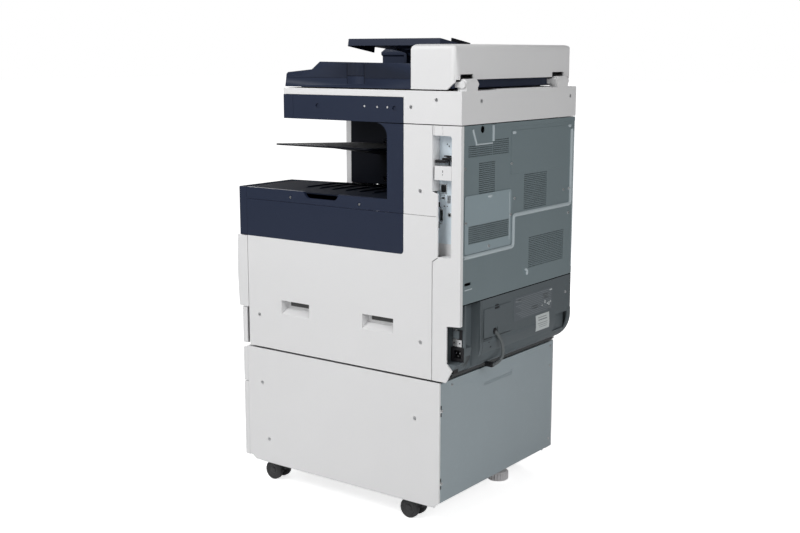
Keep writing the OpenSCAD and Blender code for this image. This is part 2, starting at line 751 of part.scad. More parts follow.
module scanner_housing() {
    t = 3;
    window = [[-172, -152], [262, 150]];
    color(body_grey) {
        difference() {
            block([scan_left_x, scan_front_y + wall, scan_z0], [inner_x, rear_y, 1001]);
            block([scan_left_x + t, scan_front_y + wall + t, scan_z0 + t], [inner_x - t, rear_y - t, 1002]);
            for (p = [[216, 993], [-190, 993]]) bar_y(rear_y - 2, rear_y + 1, p[0], p[1], 5);
        }
        difference() {
            block([inner_x, band_y1 + 0.8, scan_z0], [right_x, rear_y, 1001]);
            for (p = [[200, 979], [269, 996]]) bar_x(right_x - 2.5, right_x + 1, p[0], p[1], 4.5);
        }
        difference() {
            block([scan_left_x, scan_front_y, 1001], [right_x, rear_y, scan_z1]);
            block([window[0][0], window[0][1], 1000], [window[1][0], window[1][1], scan_z1 + 1]);
            block([scan_left_x + t, scan_front_y + wall + t, 1000], [inner_x - t, rear_y - t, 1009]);
        }
        difference() {
            block([window[0][0] - 3, window[0][1] - 3, 1009], [window[1][0] + 3, window[1][1] + 3, 1012.5]);
            block([window[0][0] + 3, window[0][1] + 3, 1008], [window[1][0] - 3, window[1][1] - 3, 1013]);
        }
        bar_x(scan_left_x + 1, inner_x - 1, 170, 965, 4);
    }
}

screw_sites_scanner = [[68, 978], [105, 977], [134, 977]];

module scanner_trim() {
    color(body_dark) difference() {
        union() {
            side_sheet(inner_x, right_x) {
                translate([scan_front_y, scan_z0]) square([band_y1 - scan_front_y - 6, 58 - 0.5]);
                translate([scan_front_y, scan_z0]) square([band_y1 - scan_front_y, 51.5]);
                translate([band_y1 - 6, scan_z0 + 51.5]) circle(6);
            }
            block([scan_left_x, scan_front_y, scan_z0], [inner_x, scan_front_y + wall, 1000.5]);
            // Lugs that carry the control panel.
            for (x = [-150, -40]) block([x, scan_front_y - 14, panel_z - 11], [x + 12, scan_front_y, panel_z + 8]);
        }
        block([right_x - 0.8, -150.4, scan_z0 - 1], [right_x + 1, -149.6, 1001]);
        for (p = screw_sites_scanner) bar_x(right_x - 2, right_x + 1, p[0], p[1], 3);
        for (p = [[-73, 975], [154, 975]]) bar_x(right_x - 3, right_x + 1, p[0], p[1], 6);
        bar_x(-151, -27, scan_front_y - 8, panel_z, 3.05);
    }
}

module platen_glass() {
    color([0.75, 0.85, 0.85, 0.5]) block([-171.5, -151.5, 1012.5], [261.5, 149.5, scan_z1]);
}

module scan_carriage() {
    color([0.2, 0.2, 0.22]) difference() {
        block([-208, -160, 954], [-166, 184, 984]);
        bar_x(-210, -160, 170, 965, 4.06);
        block([-192, -140, 978], [-184, 155, 985]);
    }
}

// Touch panel on a tilting arm; its face leans back.
panel_tilt = 9;
module panel_frame() {
    translate([0, scan_front_y - 8, panel_z]) rotate([panel_tilt, 0, 0]) children();
}

module control_panel() {
    color([0.14, 0.15, 0.20]) difference() {
        union() {
            panel_frame() block([-212, -138, -8], [30, -11, 12]);
            for (x = [-137.5, -64]) panel_frame() {
                block([x, -14, -7], [x + 23.5, 0, 7]);
                bar_x(x, x + 23.5, 0, 0, 7);
            }
        }
        for (p = button_at) panel_frame() translate([p[0] + 25, p[1] + 188, 8]) cylinder(h = 8, r = 7.4);
        panel_frame() block([-135, -126, 11], [20, -24, 13]);
    }
    color([0.6, 0.6, 0.62]) {
        bar_x(-150, -114, scan_front_y - 8, panel_z, 3);
        bar_x(-64, -28, scan_front_y - 8, panel_z, 3);
    }
}

// Round push button standing in its hole in the panel.
module panel_button(at) {
    panel_frame() translate([at[0] + 25, at[1] + 188, 9.6]) cylinder(h = 3.6, r = 7);
}
module home_button() { color("gainsboro") panel_button(button_at[0]); }
module power_button() { color([0.75, 0.78, 0.8]) panel_button(button_at[1]); }

// ---------------------------------------------------------------- document feeder

module feeder_body() {
    head_x = -62;
    color(body_dark) {
        difference() {
            union() {
                side_sheet(head_x, right_x) polygon([
                    [-174, feed_z0], [-169, 1049], [-164, 1053], [-89, 1060], [-64, 1078],
                    [feed_cover_y - 0.4, 1075], [feed_cover_y - 0.4, feed_z0]
                ]);
                block([scan_left_x, -174, feed_z0], [head_x, feed_cover_y - 0.4, 1056]);
                block([scan_left_x + 3, feed_cover_y - 0.4, feed_z0], [right_x - 3, 288, 1024]);
                block([scan_left_x + 6, 284, feed_z0 + 3], [right_x - 6, 309, 1040]);
            }
            // Hollow of the output well and of the roller head.
            block([head_x + 6, -84, 1036], [right_x - 6, feed_cover_y - 6, 1090]);
            block([scan_left_x + 4, -150, 1032], [head_x - 4, feed_cover_y - 6, 1060]);
            block([head_x - 6, -60, 1040], [head_x + 8, 180, 1054]);
            block([scan_left_x + 10, 288, feed_z0 + 6], [right_x - 10, 306, 1041]);
            for (x = hinge_x) block([x[0] - 6, 306, 1015], [x[1] + 6, 312, 1041]);
            for (x = hinge_x) block([x[0] - 1, 280, 1015], [x[1] + 1, 312, 1050]);
        }
        // Ears that turn on the hinge pins.
        for (x = lid_ear_x) difference() {
            union() {
                bar_x(x[0], x[1], lid_axis[0], lid_axis[1], 8);
                block([x[0], 286, 1024], [x[1], lid_axis[0], 1036]);
            }
            bar_x(x[0] - 1, x[1] + 1, lid_axis[0], lid_axis[1], 4.06);
        }
        // Bearings of the feed roller.
        for (y = [-40, 140]) difference() {
            block([roller_at[0] - 10, y, 1031], [roller_at[0] + 10, y + 3, 1056]);
            bar_y(y - 1, y + 4, roller_at[0], roller_at[1], 3.06);
        }
        // Pivot blocks and pins of the input tray.
        for (y = [-70, 184]) block([head_x + 3, y, 1054], [head_x + 17, y + 8, 1102]);
        bar_y(-63, -57.5, tray_pivot[0], tray_pivot[1], 2.5);
        bar_y(179.5, 185, tray_pivot[0], tray_pivot[1], 2.5);
        // Lugs and pins of the top cover.
        for (y = top_cover_lugs) {
            block([top_cover_axis[0] - 4.5, y[0], 1050], [top_cover_axis[0] + 4.5, y[1], top_cover_axis[1]]);
            bar_y(y[0], y[1], top_cover_axis[0], top_cover_axis[1], 4.5);
        }
        bar_y(-159.5, top_cover_lugs[0][0], top_cover_axis[0], top_cover_axis[1], 2.5);
        bar_y(top_cover_lugs[1][1], feed_cover_y - 1.5, top_cover_axis[0], top_cover_axis[1], 2.5);
    }
}

// Outline of the rear cover in (y, z): round top edges, sloped underside at the back.
module rear_cover_outline(inset) {
    y0 = feed_cover_y + inset;
    y1 = feed_rear_y - inset;
    z1 = feed_z1 - inset;
    r0 = 12 - inset;
    r1 = 17 - inset;
    translate([y0, feed_z0 + 6]) square([r0, z1 - r0 - feed_z0 - 6]);
    translate([y0 + r0, feed_z0 + 6]) square([296 - y0 - r0, z1 - feed_z0 - 6]);
    translate([y0, feed_z0]) square([296 - y0, 10]);
    translate([y0 + r0, z1 - r0]) circle(r0);
    polygon([
        [295, feed_z0], [296, feed_z0], [y1, 1040], [y1, z1 - r1], [y1 - r1, z1 - r1], [y1 - r1, z1], [295, z1]
    ]);
    translate([y1 - r1, z1 - r1]) circle(r1);
}

// Same outline seen from behind, in (x, z), with round upper corners.
module rear_cover_front_outline(inset) {
    x0 = scan_left_x + inset;
    x1 = right_x - inset;
    z1 = feed_z1 - inset;
    r = 13 - inset;
    translate([x0, 1010]) square([x1 - x0, z1 - r - 1010]);
    translate([x0 + r, 1010]) square([x1 - x0 - 2 * r, z1 - 1010]);
    for (x = [x0 + r, x1 - r]) translate([x, z1 - r]) circle(r);
}

module rear_cover_solid(inset) {
    r = 16 - inset;
    intersection() {
        side_sheet(scan_left_x + inset, right_x - inset) rear_cover_outline(inset);
        front_sheet(100, 400) rear_cover_front_outline(inset);
        linear_extrude(1300) {
            translate([scan_left_x + inset, 100]) square([right_x - scan_left_x - 2 * inset, feed_rear_y - 100 - inset - r]);
            translate([scan_left_x + inset + r, 100])
                square([right_x - scan_left_x - 2 * inset - 2 * r, feed_rear_y - inset - 100]);
            for (x = [scan_left_x + inset + r, right_x - inset - r]) translate([x, feed_rear_y - inset - r]) circle(r);
        }
    }
}

module feeder_rear_cover() {
    color("whitesmoke") difference() {
        rear_cover_solid(0);
        intersection() {
            rear_cover_solid(3);
            block([-400, 203, 1000], [400, 318, 1200]);
        }
        block([scan_left_x + 3, feed_cover_y - 1, 1000], [right_x - 3, 290, 1025]);
        block([scan_left_x + 5, 280, 1000], [right_x - 5, 330, 1040.3]);
        for (x = hinge_x) block([x[0] - 2, 310, 1030], [x[1] + 2, 330, 1052]);
    }
}

module feeder_top_cover() {
    color(body_dark) difference() {
        front_sheet(-160, feed_cover_y - 1) polygon([
            [scan_left_x + 4, 1057], [scan_left_x + 1, 1060], [scan_left_x + 1, 1098], [-206, 1112], [-90, 1112],
            [-66, 1100], [-66, 1093], [-72, 1089], [-72, 1057]
        ]);
        front_sheet(-156, feed_cover_y - 5) polygon([
            [scan_left_x + 5, 1050], [scan_left_x + 5, 1096], [-204, 1108], [-92, 1108], [-70, 1097], [-76, 1091], [-76, 1050]
        ]);
        block([-78, -80, 1056], [-64, 190, 1090]);
        for (y = top_cover_lugs) {
            block([scan_left_x, y[0] - 0.6, 1050], [top_cover_axis[0] + 6, y[1] + 0.6, top_cover_axis[1] + 7]);
        }
        bar_y(-161, feed_cover_y, top_cover_axis[0], top_cover_axis[1], 2.56);
    }
}

// Input tray: a ribbed sheet that climbs away from the rollers, with a turned-down rim.
module tray_frame() {
    translate([tray_pivot[0], 0, tray_pivot[1]]) rotate([0, -input_slope, 0]) children();
}

tray_length = 222;
tray_y = [-88, 190];
guide_slot = [70, 110];

module input_tray() {
    color([0.17, 0.19, 0.26]) tray_frame() difference() {
        union() {
            linear_extrude(3) polygon([
                [10, -60], [60, -60], [110, tray_y[0]], [tray_length - 8, tray_y[0]],
                [tray_length, tray_y[0] + 8], [tray_length, tray_y[1]], [10, tray_y[1]]
            ]);
            translate([0, 0, -14]) linear_extrude(15) difference() {
                polygon([
                    [110, tray_y[0]], [tray_length - 8, tray_y[0]], [tray_length, tray_y[0] + 8],
                    [tray_length, tray_y[1]], [110, tray_y[1]]
                ]);
                polygon([
                    [109, tray_y[0] + 3], [tray_length - 10, tray_y[0] + 3], [tray_length - 3, tray_y[0] + 10],
                    [tray_length - 3, tray_y[1] - 3], [109, tray_y[1] - 3]
                ]);
            }
            for (y = [-61.5, 179.5]) {
                bar_y(y, y + 4, 0, 0, 6);
                block([0, y, -3], [14, y + 4, 3]);
            }
        }
        bar_y(-62, -57, 0, 0, 2.56);
        bar_y(179, 184, 0, 0, 2.56);
        for (i = [0:1]) block([guide_slot[0], -50 + i * 112, -1], [guide_slot[0] + 8, 46 + i * 112, 4]);
    }
}

// Upright document guide; its key runs in a slot of the tray.
module document_guide(y, inward) {
    tray_frame() {
        block([40, y, 3.4], [120, y + 3, 20]);
        block([40, min(y, y + inward * 22), 3.4], [120, max(y + 3, y + 3 + inward * 22), 5]);
        block([guide_slot[0] + 0.4, y + inward * 6, -3], [guide_slot[0] + 7.6, y + inward * 6 + 6, 4]);
    }
}
module guide_front() { color([0.12, 0.13, 0.18]) document_guide(-48, 1); }
module guide_rear() { color([0.12, 0.13, 0.18]) document_guide(150, -1); }

module feed_roller() {
    color([0.25, 0.25, 0.26]) {
        bar_y(30, 90, roller_at[0], roller_at[1], 10.5);
        bar_y(-41, 144, roller_at[0], roller_at[1], 3);
    }
}

module feeder_hinges() {
    color("whitesmoke") for (x = hinge_x) {
        difference() {
            union() {
                block([x[0], 313, scan_z1], [x[1], rear_y - 0.5, 1034]);
                bar_x(x[0], x[1], lid_axis[0], 1034, 8.4);
            }
            block([x[0] - 1, 300, 1043], [x[1] + 1, 340, 1060]);
        }
        bar_x(x[0] - 5, x[1] + 5, lid_axis[0], lid_axis[1], 4);
    }
}

// ---------------------------------------------------------------- fasteners

module screw_x(p, r) {
    difference() {
        bar_x(right_x - 2.5, right_x - 0.6, p[0], p[1], r);
        block([right_x - 1.4, p[0] - r, p[1] - 0.5], [right_x, p[0] + r, p[1] + 0.5]);
    }
}
module screw_y(x, y, z, r) {
    difference() {
        bar_y(y, y + 1.8, x, z, r);
        block([x - r, y + 1, z - 0.5], [x + r, y + 3, z + 0.5]);
    }
}

module cover_screws() {
    color("silver") {
        for (p = screw_sites_lower) screw_x(p, 4);
        for (p = screw_sites_cabinet) screw_x(p, 4);
        for (p = [[226, 793]]) screw_x(p, 4);
        for (p = [[77, 845], [61, 762], [-174, 761], [-202, 700], [266, 847]]) screw_y(p[0], rear_panel_y, p[1], 3.5);
        for (p = [[175, 664], [84, 726], [268, 726]]) screw_y(p[0], rear_panel_y + 2, p[1], 3.5);
        for (p = [[-198, 496]]) screw_y(p[0], rear_panel_y, p[1], 3.5);
        for (p = [[244, 342], [-214, 290], [-214, 90]]) screw_y(p[0], cab_rear_y, p[1], 3.5);
    }
}

cabinet_frame();
cabinet_right_cover();
cabinet_left_cover();
cabinet_rear_panel();
caster_fork_front_right();
caster_fork_front_left();
caster_fork_rear_right();
caster_fork_rear_left();
caster_wheel_front_right();
caster_wheel_front_left();
caster_wheel_rear_right();
caster_wheel_rear_left();
levelling_feet();
tray_2_box();
tray_2_front();
tray_3_box();
tray_3_front();
engine_frame();
tray_1_box();
tray_1_front();
front_door();
upper_front_cover();
right_lower_cover();
side_band();
inner_side_trim();
output_tray();
right_upper_cover();
rear_corner_cover();
exit_housing();
left_cover();
exit_shelf();
left_door();
bypass_tray();
rear_panel();
rear_access_plate();
rear_lower_cover();
rear_connector_cover();
io_panel();
io_cap();
power_inlet();
link_cable();
toner_cartridges();
fuser_unit();
cooling_fan();
scanner_housing();
scanner_trim();
platen_glass();
scan_carriage();
control_panel();
home_button();
power_button();
feeder_body();
feeder_rear_cover();
feeder_top_cover();
input_tray();
guide_front();
guide_rear();
feed_roller();
feeder_hinges();
cover_screws();
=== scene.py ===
# A floor-standing photocopier with a document feeder and a paper module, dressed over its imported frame.
# Places and sizes are in millimetres, as in the design, and MM turns them into metres.
import json
import math

import bmesh
import bpy
from mathutils import Matrix, Vector


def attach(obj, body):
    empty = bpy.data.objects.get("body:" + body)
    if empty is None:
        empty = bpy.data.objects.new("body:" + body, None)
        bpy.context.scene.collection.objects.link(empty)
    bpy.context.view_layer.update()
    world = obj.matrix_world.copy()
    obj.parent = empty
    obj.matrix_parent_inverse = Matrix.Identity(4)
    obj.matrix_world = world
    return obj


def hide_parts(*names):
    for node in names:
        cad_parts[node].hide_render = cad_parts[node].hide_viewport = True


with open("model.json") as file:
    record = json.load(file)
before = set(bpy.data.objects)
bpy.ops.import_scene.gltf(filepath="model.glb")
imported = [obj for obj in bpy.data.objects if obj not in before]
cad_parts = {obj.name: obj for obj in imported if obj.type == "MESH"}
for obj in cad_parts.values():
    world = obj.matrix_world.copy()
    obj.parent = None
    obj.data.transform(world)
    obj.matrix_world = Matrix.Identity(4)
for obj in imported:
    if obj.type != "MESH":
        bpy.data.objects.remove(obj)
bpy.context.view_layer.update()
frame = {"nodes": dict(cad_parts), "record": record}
MM = 0.001

# ---- Studio -----------------------------------------------------------------------------------
# A long lens looks down on the rear right corner of the machine. A broad soft light stands on the
# open side, a weaker one behind, and a pale floor runs out to a white surround.
CAMERA_AT = (2.425, 1.754, 1.097)
CAMERA_HEADING = math.radians(216.637)
CAMERA_DIP = math.radians(-10.276)
LENS_MM = 52.92
SENSOR_MM = 36.0
SURROUND_GLOW = 1.0
SURROUND_FILL = 0.16
FLOOR_HALF = 40.0
FLOOR_DROP = 0.0005
FLOOR_NEAR_M = 0.5
FLOOR_FAR_M = 2.6
FLOOR_GLOW_NEAR = 0.74


def link(thing):
    bpy.context.scene.collection.objects.link(thing)
    return thing


def aimed(thing, place, target):
    """Stands a camera or a light at place, turned towards target."""
    thing.location = place
    thing.rotation_euler = (Vector(target) - Vector(place)).to_track_quat("-Z", "Y").to_euler()
    return link(thing)


def soft_light(name, place, target, width, height, watts, colour=(1.0, 1.0, 1.0)):
    lamp = bpy.data.lights.new(name, "AREA")
    lamp.shape = "RECTANGLE"
    lamp.size, lamp.size_y = width, height
    lamp.energy = watts
    lamp.color = colour
    return aimed(bpy.data.objects.new(name, lamp), place, target)


camera_data = bpy.data.cameras.new("camera")
camera_data.lens = LENS_MM
camera_data.sensor_width = SENSOR_MM
camera_data.clip_end = 200.0
sight = Vector((
    math.cos(CAMERA_HEADING) * math.cos(CAMERA_DIP),
    math.sin(CAMERA_HEADING) * math.cos(CAMERA_DIP),
    math.sin(CAMERA_DIP),
))
camera = aimed(bpy.data.objects.new("camera", camera_data), CAMERA_AT, Vector(CAMERA_AT) + sight)
bpy.context.scene.camera = camera
bpy.context.scene.view_settings.view_transform = "Standard"

soft_light("side_light", (2.3, -0.5, 2.4), (0.1, 0.0, 0.9), 1.6, 1.6, 47.0)
soft_light("rear_light", (1.4, 3.0, 2.0), (0.0, 0.2, 0.7), 1.8, 1.6, 38.0)
soft_light("top_light", (0.4, 0.0, 3.6), (0.0, 0.0, 0.0), 3.0, 3.0, 12.0)
soft_light("front_light", (-1.6, -3.2, 1.8), (0.0, 0.0, 0.6), 2.2, 1.8, 42.0)

surround = bpy.data.worlds.new("surround")
surround.use_nodes = True
backing = surround.node_tree.nodes["Background"]
backing.inputs["Color"].default_value = (1.0, 1.0, 1.0, 1.0)
glimpse = surround.node_tree.nodes.new("ShaderNodeLightPath")
level = surround.node_tree.nodes.new("ShaderNodeMapRange")
level.inputs["To Min"].default_value = SURROUND_FILL
level.inputs["To Max"].default_value = SURROUND_GLOW
surround.node_tree.links.new(glimpse.outputs["Is Camera Ray"], level.inputs["Value"])
surround.node_tree.links.new(level.outputs["Result"], backing.inputs["Strength"])
bpy.context.scene.world = surround

floor_mesh = bpy.data.meshes.new("floor")
floor_mesh.from_pydata(
    [(-FLOOR_HALF, -FLOOR_HALF, -FLOOR_DROP), (FLOOR_HALF, -FLOOR_HALF, -FLOOR_DROP),
     (FLOOR_HALF, FLOOR_HALF, -FLOOR_DROP), (-FLOOR_HALF, FLOOR_HALF, -FLOOR_DROP)], [], [(0, 1, 2, 3)])
floor = link(bpy.data.objects.new("floor", floor_mesh))

# ---- Paper module covers ----------------------------------------------------------------------
# The stand is a zinc-plated frame behind light grey moulded side covers and a painted steel rear
# panel. The covers hook onto the frame and are held by three screws each.


class Signal:
    """One output of a node, which can be used in plain arithmetic."""

    def __init__(self, graph, socket):
        self.graph = graph
        self.socket = socket

    def maths(self, operation, *values):
        return self.graph.node("ShaderNodeMath", {"operation": operation}, dict(enumerate(values)))

    def __add__(self, other):
        return self.maths("ADD", self, other)

    def __sub__(self, other):
        return self.maths("SUBTRACT", self, other)

    def __rsub__(self, other):
        return self.maths("SUBTRACT", other, self)

    def __mul__(self, other):
        return self.maths("MULTIPLY", self, other)

    def __truediv__(self, other):
        return self.maths("DIVIDE", self, other)

    def __rtruediv__(self, other):
        return self.maths("DIVIDE", other, self)

    __radd__ = __add__
    __rmul__ = __mul__


class Graph:
    """A node tree that is filled one node at a time."""

    def __init__(self, tree):
        self.tree = tree

    def node(self, kind, settings=None, inputs=None, output=0):
        """Adds a node with its settings and the values or links of its sockets, and returns one output."""
        made = self.tree.nodes.new(kind)
        for key, value in (settings or {}).items():
            setattr(made, key, value)
        for key, value in (inputs or {}).items():
            for source in value if isinstance(value, list) else [value]:
                if isinstance(source, Signal):
                    self.tree.links.new(source.socket, made.inputs[key])
                else:
                    made.inputs[key].default_value = source
        return Signal(self, made.outputs[output])


class Finish(Graph):
    """A material with one Principled shader. What is even goes on its sockets, what varies is fed."""

    def __init__(self, name, **even):
        self.material = bpy.data.materials.new(name)
        self.material.use_nodes = True
        super().__init__(self.material.node_tree)
        self.shader = self.tree.nodes["Principled BSDF"]
        for key, value in even.items():
            self.shader.inputs[key.replace("_", " ")].default_value = value
        self.place = self.node("ShaderNodeTexCoord", output="Object")

    def feed(self, **signals):
        for key, signal in signals.items():
            self.tree.links.new(signal.socket, self.shader.inputs[key.replace("_", " ")])
        return self.material

    def noise(self, scale, detail=2.0, stretch=None):
        """Noise from 0 to 1 with scale features to the metre, drawn out along the axes by stretch."""
        where = self.place
        if stretch:
            where = self.node("ShaderNodeMapping", inputs={"Vector": where, "Scale": stretch})
        return self.node("ShaderNodeTexNoise", inputs={"Vector": where, "Scale": scale, "Detail": detail})

    def blend(self, factor, first, second):
        """Colour that goes from first to second as factor goes from 0 to 1."""
        return self.node("ShaderNodeMix", {"data_type": "RGBA"}, {0: factor, 6: first, 7: second}, 2)

    def bands(self, value, low, high):
        """0 below low and 1 above high, with a straight climb between."""
        return self.node("ShaderNodeMapRange", inputs={"Value": value, "From Min": low, "From Max": high})

    def edges(self, radius):
        """1 along the outer and inner edges of a piece, 0 on its faces."""
        soft = self.node("ShaderNodeBevel", {"samples": 4}, {"Radius": radius})
        true = self.node("ShaderNodeNewGeometry", output="Normal")
        along = self.node("ShaderNodeVectorMath", {"operation": "DOT_PRODUCT"}, {0: soft, 1: true}, "Value")
        return self.bands(1.0 - along, 0.02, 0.25)

    def relief(self, height, depth, under=None):
        """Normal of a surface with that relief, depth metres at full height, on top of another relief."""
        inputs = {"Height": height, "Distance": depth, "Strength": 1.0}
        if under:
            inputs["Normal"] = under
        return self.node("ShaderNodeBump", inputs=inputs)


def shade(colour, gain):
    return tuple(min(1.0, c * gain) for c in colour) + (1.0,)


def moulded(name, colour, roughness, grain=850.0, depth=0.00005, rub=0.25, lift=1.35, sheen=0.35):
    """Textured moulded plastic: fine spark-eroded grain, faint flow clouds and lighter edges, partly wear and
    partly painted highlight.
    """
    finish = Finish(name, Specular_IOR_Level=sheen)
    clouds = finish.noise(3.5, 4.0)
    speckle = finish.noise(grain, 3.0)
    scuffs = finish.noise(38.0, 6.0, (1.0, 1.0, 0.35))
    body = finish.blend(clouds, shade(colour, 0.965), shade(colour, 1.035))
    grainy = finish.blend(finish.bands(speckle, 0.25, 0.75) * 0.35, body, shade(colour, 0.9))
    # Scuffed edges go lighter by lift: partly wear, partly a painted highlight, strongest on the dark
    # plastics.
    rubbed_and_highlit = finish.edges(0.0011) * finish.bands(scuffs, 0.3, 0.7) * rub
    gloss = roughness - 0.06 + speckle * 0.07 + scuffs * 0.09 - rubbed_and_highlit * 0.2
    return finish.feed(
        Base_Color=finish.blend(rubbed_and_highlit, grainy, shade(colour, lift)),
        Roughness=gloss,
        Normal=finish.relief(speckle, depth, finish.relief(clouds, 0.0004)),
    )


def painted(name, colour, roughness=0.42, peel=260.0, rub=0.3):
    """Powder paint on sheet steel: orange peel, faint rolling waves and brighter worn edges."""
    finish = Finish(name, Specular_IOR_Level=0.5)
    waves = finish.noise(5.0, 3.0, (1.0, 1.0, 0.4))
    peeled = finish.noise(peel, 2.0)
    dust = finish.noise(60.0, 6.0)
    body = finish.blend(waves, shade(colour, 0.93), shade(colour, 1.07))
    dusty = finish.blend(finish.bands(dust, 0.52, 0.75) * 0.12, body, shade(colour, 1.3))
    worn = finish.edges(0.0008) * finish.bands(dust, 0.35, 0.6) * rub
    return finish.feed(
        Base_Color=finish.blend(worn, dusty, shade(colour, 1.7)),
        Roughness=roughness - 0.05 + dust * 0.12,
        Metallic=worn * 0.5,
        Normal=finish.relief(peeled, 0.00005, finish.relief(waves, 0.0012)),
    )


def plated(name, colour=(0.62, 0.63, 0.64), roughness=0.34):
    """Zinc-plated sheet with spangle and a drawn grain along its length."""
    finish = Finish(name, Specular_IOR_Level=0.5)
    spangle = finish.node("ShaderNodeTexVoronoi", inputs={"Vector": finish.place, "Scale": 90.0},
                          output="Color")
    tone = finish.node("ShaderNodeSeparateColor", inputs={"Color": spangle})
    drawn = finish.noise(30.0, 5.0, (1.0, 12.0, 12.0))
    return finish.feed(
        Base_Color=finish.blend(tone * 0.5 + drawn * 0.5, shade(colour, 0.82), shade(colour, 1.12)),
        Roughness=roughness - 0.08 + drawn * 0.2,
        Metallic=0.85 + tone * 0.15,
        Normal=finish.relief(drawn, 0.00004),
    )


SHARP_ANGLE = math.radians(38)
FLAT_ANGLE = math.radians(0.6)
MERGE_M = 0.000002
EDGE_ROOM = 2.2


def at(*place):
    """Point or size in millimetres, turned into metres."""
    return Vector(place) * MM


def as_piece(name, work):
    """Object from a bmesh, shaded smooth but for its sharp edges."""
    mesh = bpy.data.meshes.new(name)
    work.to_mesh(mesh)
    work.free()
    mesh.shade_smooth()
    mesh.set_sharp_from_angle(angle=SHARP_ANGLE)
    return link(bpy.data.objects.new(name, mesh))


def settled(piece):
    """Applies the modifiers of a piece."""
    view = bpy.context.evaluated_depsgraph_get()
    mesh = bpy.data.meshes.new_from_object(piece.evaluated_get(view))
    piece.modifiers.clear()
    piece.data = mesh
    return piece


def round_edges(work, edges, width, steps):
    """Rounds the edges that have room for it on both sides."""
    def room(face):
        return face.calc_area() / max(edge.calc_length() for edge in face.edges)

    picked = [e for e in edges if len(e.link_faces) == 2 and abs(e.calc_face_angle(0.0)) > SHARP_ANGLE
              and min(room(face) for face in e.link_faces) > EDGE_ROOM * width]
    bmesh.ops.bevel(work, geom=picked, offset=width, segments=steps, profile=0.5, affect="EDGES",
                    clamp_overlap=True)


def even_normals(piece):
    """Keeps large faces flat in shading beside their rounded edges."""
    steady = piece.modifiers.new("Even shading", "WEIGHTED_NORMAL")
    steady.keep_sharp = True
    return settled(piece)


def softened(name, node, width, steps=2):
    """Copy of a CAD node with its loose triangles merged and its edges rounded."""
    work = bmesh.new()
    work.from_mesh(frame["nodes"][node].data)
    bmesh.ops.remove_doubles(work, verts=work.verts, dist=MERGE_M)
    bmesh.ops.dissolve_limit(work, angle_limit=FLAT_ANGLE, verts=work.verts, edges=work.edges)
    round_edges(work, list(work.edges), width * MM, steps)
    return even_normals(as_piece(name, work))


def hand_over(piece, finish, body="machine", nodes=()):
    """Gives a finished piece its material and body, and hides the CAD nodes that it stands for."""
    piece.data.materials.clear()
    piece.data.materials.append(finish)
    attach(piece, body)
    if nodes:
        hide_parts(*nodes)
    return piece


def dressed(node, finish):
    """Gives a CAD node that stays its material."""
    mesh = frame["nodes"][node].data
    mesh.materials.clear()
    mesh.materials.append(finish)


body_of = {node: body for body, nodes in frame["record"]["behaviour"]["bodies"].items() for node in nodes}


def skinned(node, width, finish, *cuts, steps=2):
    """Stands a softened copy of a CAD node, with boxes cut out of it, for that node."""
    piece = softened(f"{node}_skin", node, width, steps)
    if cuts:
        carved(piece, *cuts)
    return hand_over(piece, finish, body_of[node], [node])


def add_box(work, low, high):
    """Adds a box between two corners in millimetres to a bmesh."""
    low, high = at(*low), at(*high)
    stretch = Matrix.Diagonal((*(high - low), 1.0))
    return bmesh.ops.create_cube(work, size=1.0,
                                 matrix=Matrix.Translation((low + high) / 2) @ stretch)["verts"]


def carved(piece, *boxes):
    """Cuts boxes out of a piece."""
    work = bmesh.new()
    for low, high in boxes:
        add_box(work, low, high)
    tool = as_piece("cutter", work)
    cut = piece.modifiers.new("Cut", "BOOLEAN")
    cut.operation = "DIFFERENCE"
    cut.solver = "EXACT"
    cut.use_self = True
    cut.object = tool
    settled(piece)
    bpy.data.objects.remove(tool)
    return piece


def blocks(name, boxes, width=0.4, steps=2):
    """Piece made of boxes with rounded edges."""
    work = bmesh.new()
    for low, high in boxes:
        add_box(work, low, high)
    round_edges(work, list(work.edges), width * MM, steps)
    return even_normals(as_piece(name, work))


def block_piece(name, boxes, finish, width=0.4, steps=2, body="machine"):
    """Hands over a piece made of boxes with rounded edges."""
    return hand_over(blocks(name, boxes, width, steps), finish, body)


light_plastic = moulded("light_grey_plastic", (0.80, 0.80, 0.805), 0.46)
cabinet_paint = painted("cabinet_rear_paint", (0.35, 0.41, 0.44))
zinc = plated("zinc_plated_sheet")

dressed("cabinet_frame", zinc)
for side in ("right", "left"):
    skinned(f"cabinet_{side}_cover", 1.2, light_plastic)
skinned("cabinet_rear_panel", 0.8, cabinet_paint)
groove = [((-22, 282.2, 312.5), (104, 282.9, 313.8)), ((-22, 282.2, 316.2), (-18, 282.9, 321))]
block_piece("cabinet_panel_groove", groove, cabinet_paint, 0.25)
block_piece("cabinet_lower_rails", [((283, -262, 55), (290.5, 252, 61.8)),
                                    ((-233, -262, 55), (-226, 252, 61.8))], zinc, 0.6)

# ---- Casters ----------------------------------------------------------------------------------
# Four twin-wheel casters of dark nylon, bolted under the frame. A short hood and a web stand on a
# swivel plate, and the two wheels turn on one steel axle.
CASTER_X = {"right": 248.0, "left": -186.0}
CASTER_Y = {"front": -262.0, "rear": 177.0}
CASTER_R = 25.0
HOOD_R = 26.2
HOOD_WALL = 2.4
HOOD_HALF = 22.5
WHEEL_PROFILE = [(0.0, 8.7), (21.0, 8.7), (24.2, 9.6), (25.0, 11.6), (25.0, 19.8), (24.2, 22.2), (21.8, 23.5),
                 (19.4, 23.5), (18.6, 22.0), (17.6, 21.6), (16.8, 22.4), (15.4, 22.4), (14.6, 21.4),
                 (8.4, 21.0),
                 (7.6, 22.8), (4.5, 23.4), (0.0, 23.4)]


